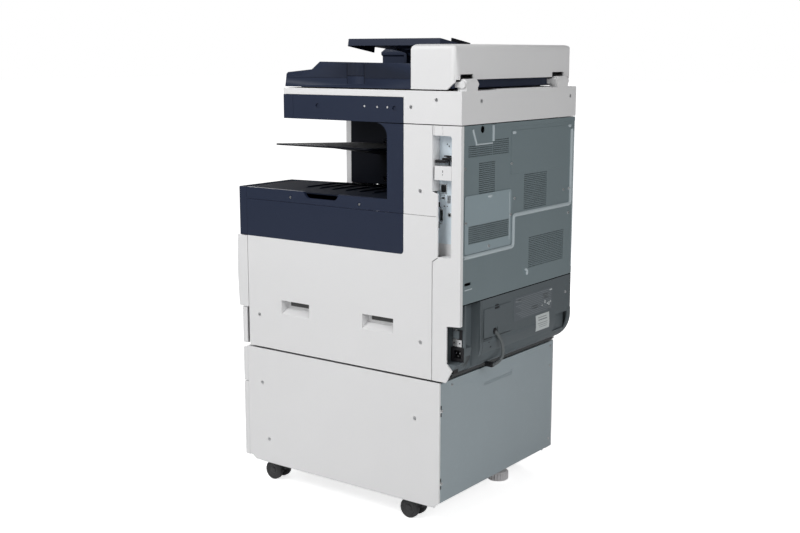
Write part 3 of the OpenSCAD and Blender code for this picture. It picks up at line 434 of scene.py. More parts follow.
def add_turned(work, profile, place, axis, segments=48):
    """Adds a solid of revolution; profile holds (radius, distance along the axis), from back to front."""
    along = Vector([1.0 if letter == axis else 0.0 for letter in "xyz"])
    across = Vector((along.z, along.x, along.y))
    upward = along.cross(across)
    middle = at(*place)
    rings = []
    for radius, distance in profile:
        centre = middle + along * distance * MM
        if radius == 0.0:
            rings.append([work.verts.new(centre)] * segments)
            continue
        turns = [2 * math.pi * step / segments for step in range(segments)]
        rings.append([work.verts.new(centre + (across * math.cos(t) + upward * math.sin(t)) * radius * MM)
                      for t in turns])
    for low, high in zip(rings, rings[1:]):
        for k in range(segments):
            n = (k + 1) % segments
            corners = [low[k], low[n], high[n], high[k]]
            work.faces.new([v for i, v in enumerate(corners) if v not in corners[:i]])


def add_arch(work, place, radius, wall, half, first, last, steps=14):
    """Adds a hood over a wheel: a curved wall about an axis along x, from one angle to another."""
    ring = []
    for step in range(steps + 1):
        turn = math.radians(first + (last - first) * step / steps)
        for r, x in ((radius, -half), (radius, half), (radius + wall, half), (radius + wall, -half)):
            ring.append(work.verts.new(at(place[0] + x, place[1] + r * math.cos(turn),
                                          place[2] + r * math.sin(turn))))
    for step in range(steps):
        a, b = 4 * step, 4 * step + 4
        for k in range(4):
            n = (k + 1) % 4
            work.faces.new([ring[a + k], ring[b + k], ring[b + n], ring[a + n]])
    work.faces.new([ring[k] for k in (0, 1, 2, 3)])
    work.faces.new([ring[4 * steps + k] for k in (3, 2, 1, 0)])


nylon = moulded("caster_nylon", (0.052, 0.052, 0.054), 0.44, grain=500.0, depth=0.00012, rub=0.5, lift=2.2)
for side, x in CASTER_X.items():
    for end, y in CASTER_Y.items():
        work = bmesh.new()
        add_turned(work, WHEEL_PROFILE, (x, y, CASTER_R), "x")
        add_turned(work, [(r, -d) for r, d in reversed(WHEEL_PROFILE)], (x, y, CASTER_R), "x")
        add_turned(work, [(0.0, -8.9), (3.9, -8.9), (3.9, 8.9), (0.0, 8.9)], (x, y, CASTER_R), "x", 24)
        hand_over(as_piece(f"caster_wheels_{end}_{side}", work), nylon, f"wheel_{end}_{side}",
                  [f"caster_wheel_{end}_{side}"])
        hood = bmesh.new()
        add_arch(hood, (x, y, CASTER_R), HOOD_R, HOOD_WALL, HOOD_HALF, 15.0, 128.0)
        add_turned(hood, [(0.0, 27.0), (19.0, 27.0), (21.0, 28.0), (21.0, 30.4), (0.0, 30.4)],
                   (x, y + 18.0, CASTER_R), "z")
        bmesh.ops.recalc_face_normals(hood, faces=hood.faces)
        hand_over(as_piece(f"caster_hood_{end}_{side}", hood), nylon, f"swivel_{end}_{side}")
        skinned(f"caster_fork_{end}_{side}", 0.8, nylon)

# ---- Levelling feet ---------------------------------------------------------------------------
# Two ribbed nylon discs that screw down from the frame on threaded studs. The ribs are moulded
# round the rim as a grip.
FEET_AT = [(-87.0, 206.0), (149.0, -230.0)]
RIB_COUNT = 22


class Pattern(Graph):
    """A Geometry Nodes tree with named inputs, which grows a shape at the points of a mesh."""

    def __init__(self, name, **kinds):
        super().__init__(bpy.data.node_groups.new(name, "GeometryNodeTree"))
        face = self.tree.interface
        face.new_socket("Geometry", in_out="OUTPUT", socket_type="NodeSocketGeometry")
        face.new_socket("Places", in_out="INPUT", socket_type="NodeSocketGeometry")
        self.keys = {label: face.new_socket(label, in_out="INPUT", socket_type=f"NodeSocket{kind}").identifier
                     for label, kind in {**kinds, "Finish": "Material"}.items()}
        self.given = self.tree.nodes.new("NodeGroupInput")

    def size(self, label):
        return Signal(self, self.given.outputs[label])

    def finish(self, shape, **spread):
        """Ends the tree: the shape at every place, made real, with its material."""
        spots = spread.pop("spots", self.size("Places"))
        put = self.node("GeometryNodeInstanceOnPoints", inputs={"Points": spots, "Instance": shape, **spread})
        real = self.node("GeometryNodeRealizeInstances", inputs={"Geometry": put})
        done = self.node("GeometryNodeSetMaterial",
                         inputs={"Geometry": real, "Material": self.size("Finish")})
        out = self.tree.nodes.new("NodeGroupOutput")
        self.tree.links.new(done.socket, out.inputs[0])

    def grow(self, name, places, **values):
        """Plain mesh of the pattern at places, in millimetres, with its sizes in metres."""
        mesh = bpy.data.meshes.new(name)
        mesh.from_pydata([at(*place) for place in places], [], [])
        piece = link(bpy.data.objects.new(name, mesh))
        grown = piece.modifiers.new("Pattern", "NODES")
        grown.node_group = self.tree
        for label, value in values.items():
            grown[self.keys[label]] = value
        settled(piece)
        piece.data.shade_smooth()
        piece.data.set_sharp_from_angle(angle=SHARP_ANGLE)
        return piece


foot_nylon = moulded("foot_nylon", (0.78, 0.765, 0.775), 0.5, grain=400.0, depth=0.0001)
rib_ring = Pattern("ribs_round_a_disc", Ribs="Int", Ring="Float", Rib="Float", Tall="Float")
rib = rib_ring.node("GeometryNodeMeshCylinder", inputs={
    "Vertices": 10, "Radius": rib_ring.size("Rib"), "Depth": rib_ring.size("Tall")})
ring = rib_ring.node("GeometryNodeMeshCircle", inputs={
    "Vertices": rib_ring.size("Ribs"), "Radius": rib_ring.size("Ring")})
ribbed = rib_ring.node("GeometryNodeInstanceOnPoints", inputs={"Points": ring, "Instance": rib})
rib_ring.finish(ribbed)
foot_ribs = rib_ring.grow("levelling_foot_ribs", [(x, y, 11.5) for x, y in FEET_AT],
                          Ribs=RIB_COUNT, Ring=0.0256, Rib=0.0019, Tall=0.017, Finish=foot_nylon)
hand_over(foot_ribs, foot_nylon)
work = bmesh.new()
for x, y in FEET_AT:
    add_turned(work, [(0.0, 0.0), (25.5, 0.0), (26.9, 1.2), (26.9, 2.6), (25.4, 3.2), (25.4, 19.8),
                      (24.4, 22.4),
                      (21.0, 24.0), (12.0, 24.0), (10.0, 26.0), (5.6, 26.4), (5.0, 27.0)]
               + [(5.0 - 0.5 * (turn % 2), 28.0 + turn) for turn in range(26)] + [(0.0, 54.0)], (x, y, 0.0),
               "z", 40)
hand_over(as_piece("levelling_foot_discs", work), foot_nylon, nodes=["levelling_feet"])

# ---- Drawers ----------------------------------------------------------------------------------
# Three paper drawers on slides. Each has a light moulded front with a scooped finger grip, screwed
# to a dark ribbed box.
drawer_plastic = moulded("drawer_plastic", (0.08, 0.085, 0.09), 0.5)
for tray in (1, 2, 3):
    skinned(f"tray_{tray}_front", 2.2, light_plastic, steps=3)
    skinned(f"tray_{tray}_box", 0.8, drawer_plastic)
# Thin black sheets in the joints beside the tray fronts are painted shadow.
joint_shadow_black = moulded("joint_shadow", (0.02, 0.02, 0.021), 0.8, rub=0.0, sheen=0.05)
block_piece("drawer_joint_shadows", [((289, -318.6, 70), (294.2, -317.2, 352)),
                             ((289, -310.6, 376), (294.4, -309.2, 455))], joint_shadow_black, 0.1, 1)

# ---- Engine frame and front door --------------------------------------------------------------
# The engine stands on folded and painted steel plates. The bowed front door is one light moulding that
# hangs on two pins at its lower edge.
# The frame paint is made near black as painted shade, for the gap above the paper module and the dark behind
# the rear holes.
frame_shade_black = painted("engine_frame_paint", (0.05, 0.055, 0.058), 0.5)
dressed("engine_frame", frame_shade_black)
skinned("front_door", 1.6, light_plastic, steps=3)

# ---- Right covers -----------------------------------------------------------------------------
# Light moulded covers hooked and screwed to the frame: a lower one with two lifting handles, an
# upper one beside the column, and a rear corner that leaves the connectors open.
skinned("right_lower_cover", 0.7, light_plastic)
skinned("right_upper_cover", 0.7, light_plastic)
skinned("rear_corner_cover", 0.8, light_plastic)
# Dark blocks in the upper half of the lifting handle pockets are painted shadow.
pocket_shadow_black = moulded("pocket_shadow", (0.10, 0.10, 0.10), 0.7, rub=0.0)
block_piece("lifting_handle_backs", [((270.6, y0, 474), (272.6, y1, 489.4))
                                  for y0, y1 in ((-187, -109), (70, 149))], pocket_shadow_black, 0.3)

# ---- Dark fascia round the output tray --------------------------------------------------------
# Dark blue mouldings clip on round the paper output: the band on the front and the side, the low
# wall with its scoop, and the curved column behind the opening.
navy = moulded("navy_plastic", (0.0165, 0.0245, 0.051), 0.46, rub=0.35, lift=2.2, sheen=0.3)
tray_navy = moulded("tray_navy_plastic", (0.0085, 0.0115, 0.021), 0.72, rub=0.35, lift=2.2, sheen=0.03)
for node, width in {"upper_front_cover": 1.4, "side_band": 0.7, "inner_side_trim": 0.8}.items():
    skinned(node, width, navy)

# ---- Output tray, exit housing and shelf ------------------------------------------------------
# The ribbed tray floor, the housing that closes the opening and the wing over it are moulded in
# the darkest plastic, darkened further as painted shade for the inside of the opening. Rows of small
# rubber rollers push the sheets out of the two slots.
ROLLER_ROWS = [(-132.5, 758.0), (-132.5, 852.0)]
ROLLER_Y = [-180.0 + 36.0 * k for k in range(8)]
# This navy is darker than the plastic itself, as painted shade for the inside of the output opening; the
# panel shell, guides and lips share it.
deep_navy_with_shade = moulded("deep_navy_plastic", (0.0028, 0.004, 0.0085), 0.5, rub=0.3, lift=3.0, sheen=0.16)
rubber = moulded("roller_rubber", (0.03, 0.03, 0.032), 0.7, grain=600.0, depth=0.00015, rub=0.1, lift=1.5)
skinned("output_tray", 0.7, tray_navy)
skinned("exit_housing", 0.6, deep_navy_with_shade)
skinned("exit_shelf", 0.9, deep_navy_with_shade)
roller_row = Pattern("rollers_on_points", Radius="Float", Wide="Float", Turn="Vector")
drum = roller_row.node("GeometryNodeMeshCylinder", inputs={
    "Vertices": 28, "Radius": roller_row.size("Radius"), "Depth": roller_row.size("Wide")})
flange = roller_row.node("GeometryNodeMeshCylinder", inputs={
    "Vertices": 28, "Radius": roller_row.size("Radius") * 1.12, "Depth": roller_row.size("Wide") * 0.3})
shaped = roller_row.node("GeometryNodeJoinGeometry", inputs={"Geometry": [drum, flange]})
roller_row.finish(shaped, Rotation=roller_row.size("Turn"))
rollers = roller_row.grow("exit_rollers", [(x, y, z) for x, z in ROLLER_ROWS for y in ROLLER_Y],
                          Radius=0.0052,
                          Wide=0.014, Turn=(math.pi / 2, 0.0, 0.0), Finish=rubber)
hand_over(rollers, rubber)
block_piece("exit_lips", [
    ((-129.5, -205, 765), (-122, 115, 768)), ((-129.5, -205, 862), (-123, 115, 865)),
    *[((-129.5, y - 1, 737), (-112, y + 1, 752)) for y in range(-180, 110, 36)],
    *[((60 + 40 * k, 129.5, 800 + 30 * (k % 2)), (84 + 40 * k, 132.8, 804 + 30 * (k % 2))) for k in range(4)],
], deep_navy_with_shade, 0.5)

# ---- Left side --------------------------------------------------------------------------------
# A light moulded cover with a tall door on a vertical pin, which opens the paper path, and the
# bypass tray that folds down from the door.
skinned("left_cover", 0.8, light_plastic)
skinned("left_door", 3.0, light_plastic, steps=3)
skinned("bypass_tray", 2.0, light_plastic, steps=3)

# ---- Connectors -------------------------------------------------------------------------------
# A pale blue plated sheet behind the slot in the rear corner carries the sockets. A white cap
# covers the spare bay, and a black plug is pushed in above it.
IO_X = 265.0
IO_SHIFT = 20.0
blue_sheet = painted("connector_sheet", (0.78, 0.88, 0.97), 0.4, rub=0.4)
black = moulded("black_plastic", (0.012, 0.012, 0.014), 0.38, rub=0.4, lift=3.0)
bright = plated("bright_plated_steel", (0.78, 0.79, 0.80), 0.24)
skinned("io_panel", 0.5, blue_sheet)
skinned("io_cap", 0.9, light_plastic)


def on_side(u0, u1, v0, v1, w0, w1):
    """Box on the right side: u along the machine, v up, w outwards from the connector sheet."""
    return ((IO_X + w0, u0 - IO_SHIFT, v0 - 3), (IO_X + w1, u1 - IO_SHIFT, v1 - 3))


block_piece("connector_sheet_face", [((IO_X - 0.2, 252, 656), (IO_X + 0.5, 312, 937))], blue_sheet,
            0.1, 1)
block_piece("connector_bay_sill", [((255, 255, 646), (266.4, 311, 675))], light_plastic, 0.5)
block_piece("connector_shells", [
    on_side(280, 281.6, 791, 813, 0, 2), on_side(297.4, 299, 791, 813, 0, 2),
    on_side(280, 299, 811.4, 813, 0, 2),
    on_side(280, 299, 791, 792.4, 0, 2), on_side(282, 283.2, 777, 788, 0, 1.6),
    on_side(292.8, 294, 777, 788, 0, 1.6),
    on_side(282, 294, 787, 788.2, 0, 1.6), on_side(281, 288.5, 727, 756, 0, 1.2),
    on_side(283, 287, 722, 725, 0, 5),
    on_side(283, 287, 758, 761, 0, 5), on_side(300, 309, 770, 788, 0, 0.8),
    on_side(291, 309, 664, 668, 0, 0.8),
], bright, 0.25)
block_piece("connector_bodies", [
    on_side(283, 287.5, 730, 753, 1, 4.2), on_side(284, 292, 779, 783, -6, 0.6),
    on_side(270, 274.5, 895, 914, 0, 2.5),
    on_side(271, 274, 882, 886, 0, 1.5), on_side(276, 280, 760, 771, 0, 2), on_side(275, 279, 712, 727, 0, 2),
    on_side(303, 306, 840, 872, 0, 1), on_side(298, 300, 900, 903, 0, 1.2),
    on_side(303, 305, 896, 899, 0, 1.2),
    on_side(290, 294, 762, 764, 0, 0.8), on_side(299, 301.4, 762, 764, 0, 0.8),
    on_side(283, 297, 793.4, 810.6, 0, 0.9),
], black, 0.3)
work = bmesh.new()
add_turned(work, [(0.0, 0.0), (5.4, 0.0), (5.4, 1.4), (4.4, 2.2), (0.0, 2.2)], (IO_X, 287, 741), "x", 24)
hand_over(as_piece("connector_jack_rim", work), bright)
work = bmesh.new()
add_turned(work, [(0.0, 1.8), (3.1, 1.8), (3.1, 2.5), (0.0, 2.5)], (IO_X, 287, 741), "x", 24)
hand_over(as_piece("connector_jack_hole", work), black)
block_piece("stub_plug", [
    ((265.5, 272, 861), (277, 293, 869)), ((277, 262, 858.5), (289, 290, 865)),
    ((265.5, 275, 871.5), (273, 290, 874)),
], black, 1.4, 3)
block_piece("corner_cover_marks", [
    ((294.0, 285.6, 832), (294.35, 286.8, 835)), ((294.0, 285.4, 838), (294.35, 287.2, 843)),
], drawer_plastic, 0.1, 1)

# ---- Rear steel panel -------------------------------------------------------------------------
# A pressed and painted steel sheet closes the back of the engine, held by screws. Fields of small
# holes let the air through, and beads, dimples and a raised field stiffen it.
REAR_Y = 331.0
HOLE_PITCH = 4.5
HOLE_R = 1.72
HOLE_SINK = 0.7
HOLE_SHEET_M = 0.001
HOLE_MERGE_M = 0.00001
SHEET_T = 2.0
SHADOW_SHEET_Y = (326.6, 327.6)
FAN_FIELD_X = -90.0
# Each field: its lower corner as x and z, and its columns and rows of holes.
PANEL_FIELDS = [(90.0, 870.0, 15, 8), (160.0, 870.0, 22, 6), (148.0, 785.0, 15, 16),
                (FAN_FIELD_X, 730.0, 24, 19),
                (-180.0, 585.0, 38, 17)]


def box_outline(u0, u1, v0, v1, corner=0.0, steps=4):
    """Rectangle that runs anticlockwise, with round corners."""
    if corner == 0.0:
        return [(u0, v0), (u1, v0), (u1, v1), (u0, v1)]
    centres = [(u1 - corner, v0 + corner, -90), (u1 - corner, v1 - corner, 0),
               (u0 + corner, v1 - corner, 90), (u0 + corner, v0 + corner, 180)]
    return [(u + corner * math.cos(math.radians(start + 90 * step / steps)),
             v + corner * math.sin(math.radians(start + 90 * step / steps)))
            for u, v, start in centres for step in range(steps + 1)]


def round_outline(u, v, radius, segments=24):
    return [(u + radius * math.cos(2 * math.pi * k / segments),
             v + radius * math.sin(2 * math.pi * k / segments))
            for k in range(segments)]


def drawn_mesh(name, curve):
    """Mesh of a curve as it is drawn."""
    drawn = link(bpy.data.objects.new(name, curve))
    bpy.context.view_layer.update()
    mesh = bpy.data.meshes.new_from_object(drawn.evaluated_get(bpy.context.evaluated_depsgraph_get()))
    bpy.data.objects.remove(drawn)
    return mesh


def plate(name, outline, holes, outer_y, thick, rim=0.3):
    """Sheet that faces the rear, with holes through it. Outlines are points as x and z."""
    curve = bpy.data.curves.new(name, "CURVE")
    curve.dimensions = "2D"
    curve.fill_mode = "BOTH"
    curve.extrude = (thick / 2 - rim) * MM
    curve.bevel_depth = rim * MM
    curve.bevel_resolution = 1
    curve.offset = -rim * MM
    for points in [outline, *[list(reversed(hole)) for hole in holes]]:
        spline = curve.splines.new("POLY")
        spline.points.add(len(points) - 1)
        for point, (u, v) in zip(spline.points, points):
            point.co = (u * MM, v * MM, 0.0, 1.0)
        spline.use_cyclic_u = True
    mesh = drawn_mesh(name + "_outline", curve)
    mesh.transform(Matrix.Translation((0.0, (outer_y - thick / 2) * MM, 0.0)) @ Matrix.Rotation(math.pi / 2,
                                                                                                4, "X"))
    work = bmesh.new()
    work.from_mesh(mesh)
    bmesh.ops.remove_doubles(work, verts=work.verts, dist=MERGE_M)
    bmesh.ops.recalc_face_normals(work, faces=work.faces)
    return even_normals(as_piece(name, work))


def eased(points, radius, steps=6):
    """Path with its corners rounded."""
    path = [Vector(points[0])]
    for before, corner, after in zip(points, points[1:], points[2:]):
        before, corner, after = Vector(before), Vector(corner), Vector(after)
        start = corner + (before - corner).normalized() * min(radius, (before - corner).length / 2)
        end = corner + (after - corner).normalized() * min(radius, (after - corner).length / 2)
        for step in range(steps + 1):
            t = step / steps
            path.append(start * (1 - t) ** 2 + corner * 2 * t * (1 - t) + end * t ** 2)
    return path + [Vector(points[-1])]


def rod(name, points, radius, sides=3):
    """Round bar along points in millimetres, closed at its ends."""
    curve = bpy.data.curves.new(name, "CURVE")
    curve.dimensions = "3D"
    curve.bevel_depth = radius * MM
    curve.bevel_resolution = sides
    curve.use_fill_caps = True
    spline = curve.splines.new("POLY")
    spline.points.add(len(points) - 1)
    for point, place in zip(spline.points, points):
        point.co = (*at(*place), 1.0)
    return drawn_mesh(name + "_path", curve)


def add_bead(work, points, radius, height, plane=REAR_Y, ease=10.0):
    """Adds a pressed bead along points as x and z, flattened against a plane that faces the rear."""
    path = [(x, 0.0, z) for x, z in points]
    if len(points) > 2:
        path = eased(path, ease)
    mesh = rod("bead", path, radius)
    mesh.transform(Matrix.Translation((0.0, plane * MM, 0.0)) @ Matrix.Diagonal((1.0, height / radius, 1.0,
                                                                                 1.0)))
    work.from_mesh(mesh)


def add_dimple(work, x, z, wide, tall, height, plane=REAR_Y):
    """Adds a pressed dimple to a sheet that faces the rear."""
    turn = Matrix.Translation(at(x, plane, z)) @ Matrix.Diagonal((wide * MM, height * MM, tall * MM, 1.0))
    bmesh.ops.create_uvsphere(work, u_segments=20, v_segments=12, radius=1.0, matrix=turn)


def field_hole(field):
    x, z, columns, rows = field
    return box_outline(x, x + columns * HOLE_PITCH, z, z + rows * HOLE_PITCH)


perforated = Pattern("perforated_field", Columns="Int", Rows="Int", Pitch="Float", Hole="Float")
rim = perforated.node("GeometryNodeMeshCircle", inputs={"Vertices": 8, "Radius": perforated.size("Hole")})
grown = perforated.node("GeometryNodeExtrudeMesh", {"mode": "EDGES"}, {"Mesh": rim, "Offset Scale": 0.0})
moved = Signal(perforated, grown.socket.node.outputs["Top"])
spot = perforated.node("GeometryNodeInputPosition")
parts = perforated.node("ShaderNodeSeparateXYZ", inputs={0: spot}).socket.node
reaches = [spot.maths("ABSOLUTE", Signal(perforated, parts.outputs[k])) for k in (0, 1)]
widest = spot.maths("MAXIMUM", *reaches)
squared = perforated.node("ShaderNodeVectorMath", {"operation": "SCALE"}, {
    0: spot, "Scale": perforated.size("Pitch") * 0.5 / widest})
cell = perforated.node("GeometryNodeSetPosition",
                       inputs={"Geometry": grown, "Selection": moved, "Position": squared})
lattice = perforated.node("GeometryNodeMeshGrid", inputs={
    "Size X": perforated.size("Pitch") * (perforated.size("Columns") - 1.0),
    "Size Y": perforated.size("Pitch") * (perforated.size("Rows") - 1.0),
    "Vertices X": perforated.size("Columns"), "Vertices Y": perforated.size("Rows")})
perforated.finish(cell, spots=lattice)


def add_holes(work, field, outer_y, finish):
    """Adds a field of holes to a bmesh, as a thin sheet just under the rear face."""
    x, z, columns, rows = field
    piece = perforated.grow("field", [(0.0, 0.0, 0.0)], Columns=columns, Rows=rows, Pitch=HOLE_PITCH * MM,
                            Hole=HOLE_R * MM, Finish=finish)
    middle = at(x + columns * HOLE_PITCH / 2, outer_y - HOLE_SINK, z + rows * HOLE_PITCH / 2)
    piece.data.transform(Matrix.Translation(middle) @ Matrix.Rotation(math.pi / 2, 4, "X"))
    sheet = bmesh.new()
    sheet.from_mesh(piece.data)
    bmesh.ops.remove_doubles(sheet, verts=sheet.verts, dist=HOLE_MERGE_M)
    bmesh.ops.recalc_face_normals(sheet, faces=sheet.faces)
    sheet.to_mesh(piece.data)
    sheet.free()
    skin = piece.modifiers.new("Sheet", "SOLIDIFY")
    skin.thickness = HOLE_SHEET_M
    skin.offset = 0.0
    settled(piece)
    work.from_mesh(piece.data)
    bpy.data.objects.remove(piece)


steel_paint = painted("rear_steel_paint", (0.186, 0.235, 0.253), peel=320.0)
plate_paint = painted("access_plate_paint", (0.295, 0.368, 0.400), peel=320.0)
sheet = plate("rear_panel_sheet", box_outline(-225.5, 284.0, 541.5, 940.5),
              [*[field_hole(field) for field in PANEL_FIELDS], box_outline(86, 266, 663, 778, 4),
               round_outline(202, 930, 8),
               box_outline(244, 270, 583.5, 590, 2)], REAR_Y, SHEET_T)
hand_over(sheet, steel_paint, nodes=["rear_panel"])
work = bmesh.new()
for field in PANEL_FIELDS:
    add_holes(work, field, REAR_Y, steel_paint)
hand_over(as_piece("rear_panel_perforations", work), steel_paint)
# Black sheets behind the fields of holes are painted shadow for the dark inside; the fan field is left open.
painted_shadow_black = moulded("air_shadow", (0.008, 0.009, 0.01), 0.8, rub=0.0, sheen=0.05)
hole_shadow_sheets = [((x, SHADOW_SHEET_Y[0], z), (x + columns * HOLE_PITCH, SHADOW_SHEET_Y[1], z + rows * HOLE_PITCH))
         for x, z, columns, rows in PANEL_FIELDS if x != FAN_FIELD_X]
block_piece("air_field_screens", hole_shadow_sheets, painted_shadow_black, 0.1, 1)
# A black strip in the seam under the steel panel is painted shadow.
block_piece("panel_lower_joint", [((-224, 328.5, 539.2), (276, 331.2, 541.2))], painted_shadow_black,
            0.1, 1)
raised = plate("rear_panel_raised_field", box_outline(-196, 80, 819, 921, 5), [], REAR_Y + 1.0, 1.6, 0.6)
hand_over(raised, steel_paint)
lip = plate("rear_panel_folded_edge", box_outline(-225, 150, 930, 940.5, 1), [], REAR_Y + 1.2, 1.8, 0.6)
hand_over(lip, steel_paint)
work = bmesh.new()
add_bead(work, [(-210, 911), (-210, 722), (65, 722), (65, 648), (276, 648)], 4.8, 4.2)
add_bead(work, [(243, 932), (227, 897)], 3.2, 2.6)
add_bead(work, [(158.5, 938), (158.5, 902)], 3.6, 3.6)
add_bead(work, [(225, 897.5), (161, 897.5)], 1.8, 1.0)
add_bead(work, [(-222.5, 905), (-222.5, 560)], 1.6, 0.9)
add_bead(work, [(270, 574), (240, 574)], 1.4, 0.7)
# Beads and dimples are painted much lighter than the sheet, as a painted highlight on their crowns.
bead_paint = painted("bead_paint", (0.50, 0.57, 0.60), 0.22, peel=320.0, rub=0.5)
for x, z, wide, tall in [(67, 916, 9, 4), (-199, 919, 8, 4), (-2, 577, 4.4, 8), (3, 584, 6, 3.4)]:
    add_dimple(work, x, z, wide, tall, 3.8)
hand_over(as_piece("rear_panel_beads", work), bead_paint)

# ---- Access plate -----------------------------------------------------------------------------
# A lighter painted plate screwed over the opening to the boards, with its own field of holes and
# a finger dimple near its top.
PLATE_Y = 333.0
PLATE_FIELD = (88.0, 677.0, 38, 9)
cover = plate("access_plate_sheet", box_outline(78, 274, 655, 786, 6), [field_hole(PLATE_FIELD)], PLATE_Y,
              SHEET_T, 0.6)
hand_over(cover, plate_paint, nodes=["rear_access_plate"])
work = bmesh.new()
add_holes(work, PLATE_FIELD, PLATE_Y, steel_paint)
hand_over(as_piece("access_plate_perforations", work), steel_paint)
# The dimple and the bead here carry the same painted highlight as the panel beads.
work = bmesh.new()
add_dimple(work, 171, 778, 9, 4.0, 3.0, PLATE_Y)
add_bead(work, [(86, 668), (86, 780)], 1.2, 0.5, PLATE_Y)
hand_over(as_piece("access_plate_dimple", work), bead_paint)

# ---- Cooling fan ------------------------------------------------------------------------------
# A black moulded axial fan turns behind the field of holes in the middle of the panel. Its hub
# sits on a spindle from the frame, and seven curved blades stand round it.
FAN_AT = (-37.0, 773.0)
FAN_BLADES = 7
BLADE_ROOT = 15.0
BLADE_LONG = 26.0
BLADE_STEPS = 6


def round_grid(rows):
    """Points round the rim of a grid of points, once."""
    back_up = [row[-1] for row in reversed(rows[:-1])]
    return [row[0] for row in rows] + rows[-1][1:] + back_up + rows[0][2:0:-1]


work = bmesh.new()
add_turned(work, [(0.0, 304.2), (14.5, 304.2), (16.0, 306.0), (16.0, 318.5), (15.0, 320.6), (12.0, 321.6),
                  (0.0, 321.6)],
           (FAN_AT[0], 0.0, FAN_AT[1]), "y", 40)
for blade in range(FAN_BLADES):
    turn = Matrix.Translation(at(FAN_AT[0], 0,
                                 FAN_AT[1])) @ Matrix.Rotation(2 * math.pi * blade / FAN_BLADES, 4, "Y")
    rows = []
    for step in range(BLADE_STEPS + 1):
        reach = BLADE_ROOT + BLADE_LONG * step / BLADE_STEPS
        pitch = math.radians(48 - 22 * step / BLADE_STEPS)
        chord = 7.5 + 3.5 * step / BLADE_STEPS
        swing = math.radians(4.0 * step)
        rows.append([])
        for s in (-1, -0.4, 0.4, 1):
            curl = 0.9 * (1 - s * s)
            y = 313 + s * chord * math.sin(pitch) * 0.8
            across = s * chord * math.cos(pitch) + curl
            rows[-1].append((reach * math.cos(swing) - across * math.sin(swing), y,
                             reach * math.sin(swing) + across * math.cos(swing)))
    for side in (-0.5, 0.5):
        sheet = [[work.verts.new(turn @ at(x, y + side, z)) for x, y, z in row] for row in rows]
        for a, b in zip(sheet, sheet[1:]):
            for k in range(3):
                face = [a[k], a[k + 1], b[k + 1], b[k]]
                work.faces.new(face if side > 0 else reversed(face))
        if side < 0:
            back = sheet
    rim = round_grid(sheet)
    rim_back = round_grid(back)
    for k in range(len(rim)):
        n = (k + 1) % len(rim)
        work.faces.new([rim[k], rim[n], rim_back[n], rim_back[k]])
bmesh.ops.recalc_face_normals(work, faces=work.faces)
hand_over(as_piece("fan_rotor", work), black, "fan", ["cooling_fan"])

# ---- Lower rear casing ------------------------------------------------------------------------
# A grey moulding that rolls under at the bottom, clipped below the steel panel. It holds a small
# door, printed labels, a finger pocket and the scooped channel for the mains lead.
CASE_ROLL_R = 74.0
CASE_ROLL_Z = 436.0


def case_y(z):
    """Outer face of the casing at a height."""
    drop = max(0.0, CASE_ROLL_Z - z)
    return REAR_Y - CASE_ROLL_R + math.sqrt(CASE_ROLL_R ** 2 - drop ** 2)


def add_wrap(work, x0, x1, z0, z1, lift, slant=0.0, thick=0.35):
    """Adds a thin sheet that follows the casing, lifted off it, its top shifted along x by slant."""
    rows = max(1, round((z1 - z0) / 4))
    front, back = [], []
    for step in range(rows + 1):
        z = z0 + (z1 - z0) * step / rows
        shift = slant * step / rows
        for x in (x0 + shift, x1 + shift):
            front.append(work.verts.new(at(x, case_y(z) + lift, z)))
            back.append(work.verts.new(at(x, case_y(z) + lift - thick, z)))
    for step in range(rows):
        a = 2 * step
        work.faces.new([front[a + 1], front[a], front[a + 2], front[a + 3]])
        work.faces.new([back[a], back[a + 1], back[a + 3], back[a + 2]])
        work.faces.new([front[a], back[a], back[a + 2], front[a + 2]])
        work.faces.new([back[a + 1], front[a + 1], front[a + 3], back[a + 3]])
    work.faces.new([front[0], front[1], back[1], back[0]])
    last = 2 * rows
    work.faces.new([front[last + 1], front[last], back[last], back[last + 1]])


def wraps(name, strips, lift, finish, thick=0.35):
    work = bmesh.new()
    for x0, x1, z0, z1 in strips:
        add_wrap(work, x0, x1, z0, z1, lift, thick=thick)
    return hand_over(as_piece(name, work), finish)


grey_plastic = moulded("grey_plastic", (0.112, 0.134, 0.146), 0.48, rub=0.3, lift=1.6)
groove_shadow_black = moulded("groove_shadow", (0.03, 0.035, 0.038), 0.6, rub=0.0)
label_grey = moulded("label_film", (0.118, 0.138, 0.155), 0.36, depth=0.00001)
label_ink = moulded("label_print", (0.20, 0.225, 0.24), 0.4, depth=0.00001)
sticker_white = moulded("sticker_paper", (0.62, 0.66, 0.66), 0.6, depth=0.00001)
skinned("rear_lower_cover", 1.2, grey_plastic,
        ((71.6, 330.5, 444), (187.4, 332, 445.2)))
skinned("rear_connector_cover", 0.5, grey_plastic)
# Dark strips along the casing's grooves and door outline are painted shadow.
wraps("casing_grooves", [
    (190.4, 191.2, 392, 440), (150, 191, 440, 441), (128, 190, 386, 386.9), (71, 116, 444.4, 445.6),
    (150, 188, 444.4, 445.6), (160, 168, 434, 435.6), (152, 158, 420, 424), (196, 196.8, 440, 536),
], 0.12, groove_shadow_black, 0.3)
block_piece("casing_latch", [((126, 331.5, 517), (139, 333.4, 519.6)),
                             ((123, 331.5, 511), (141, 333.0, 514))], black, 0.5)
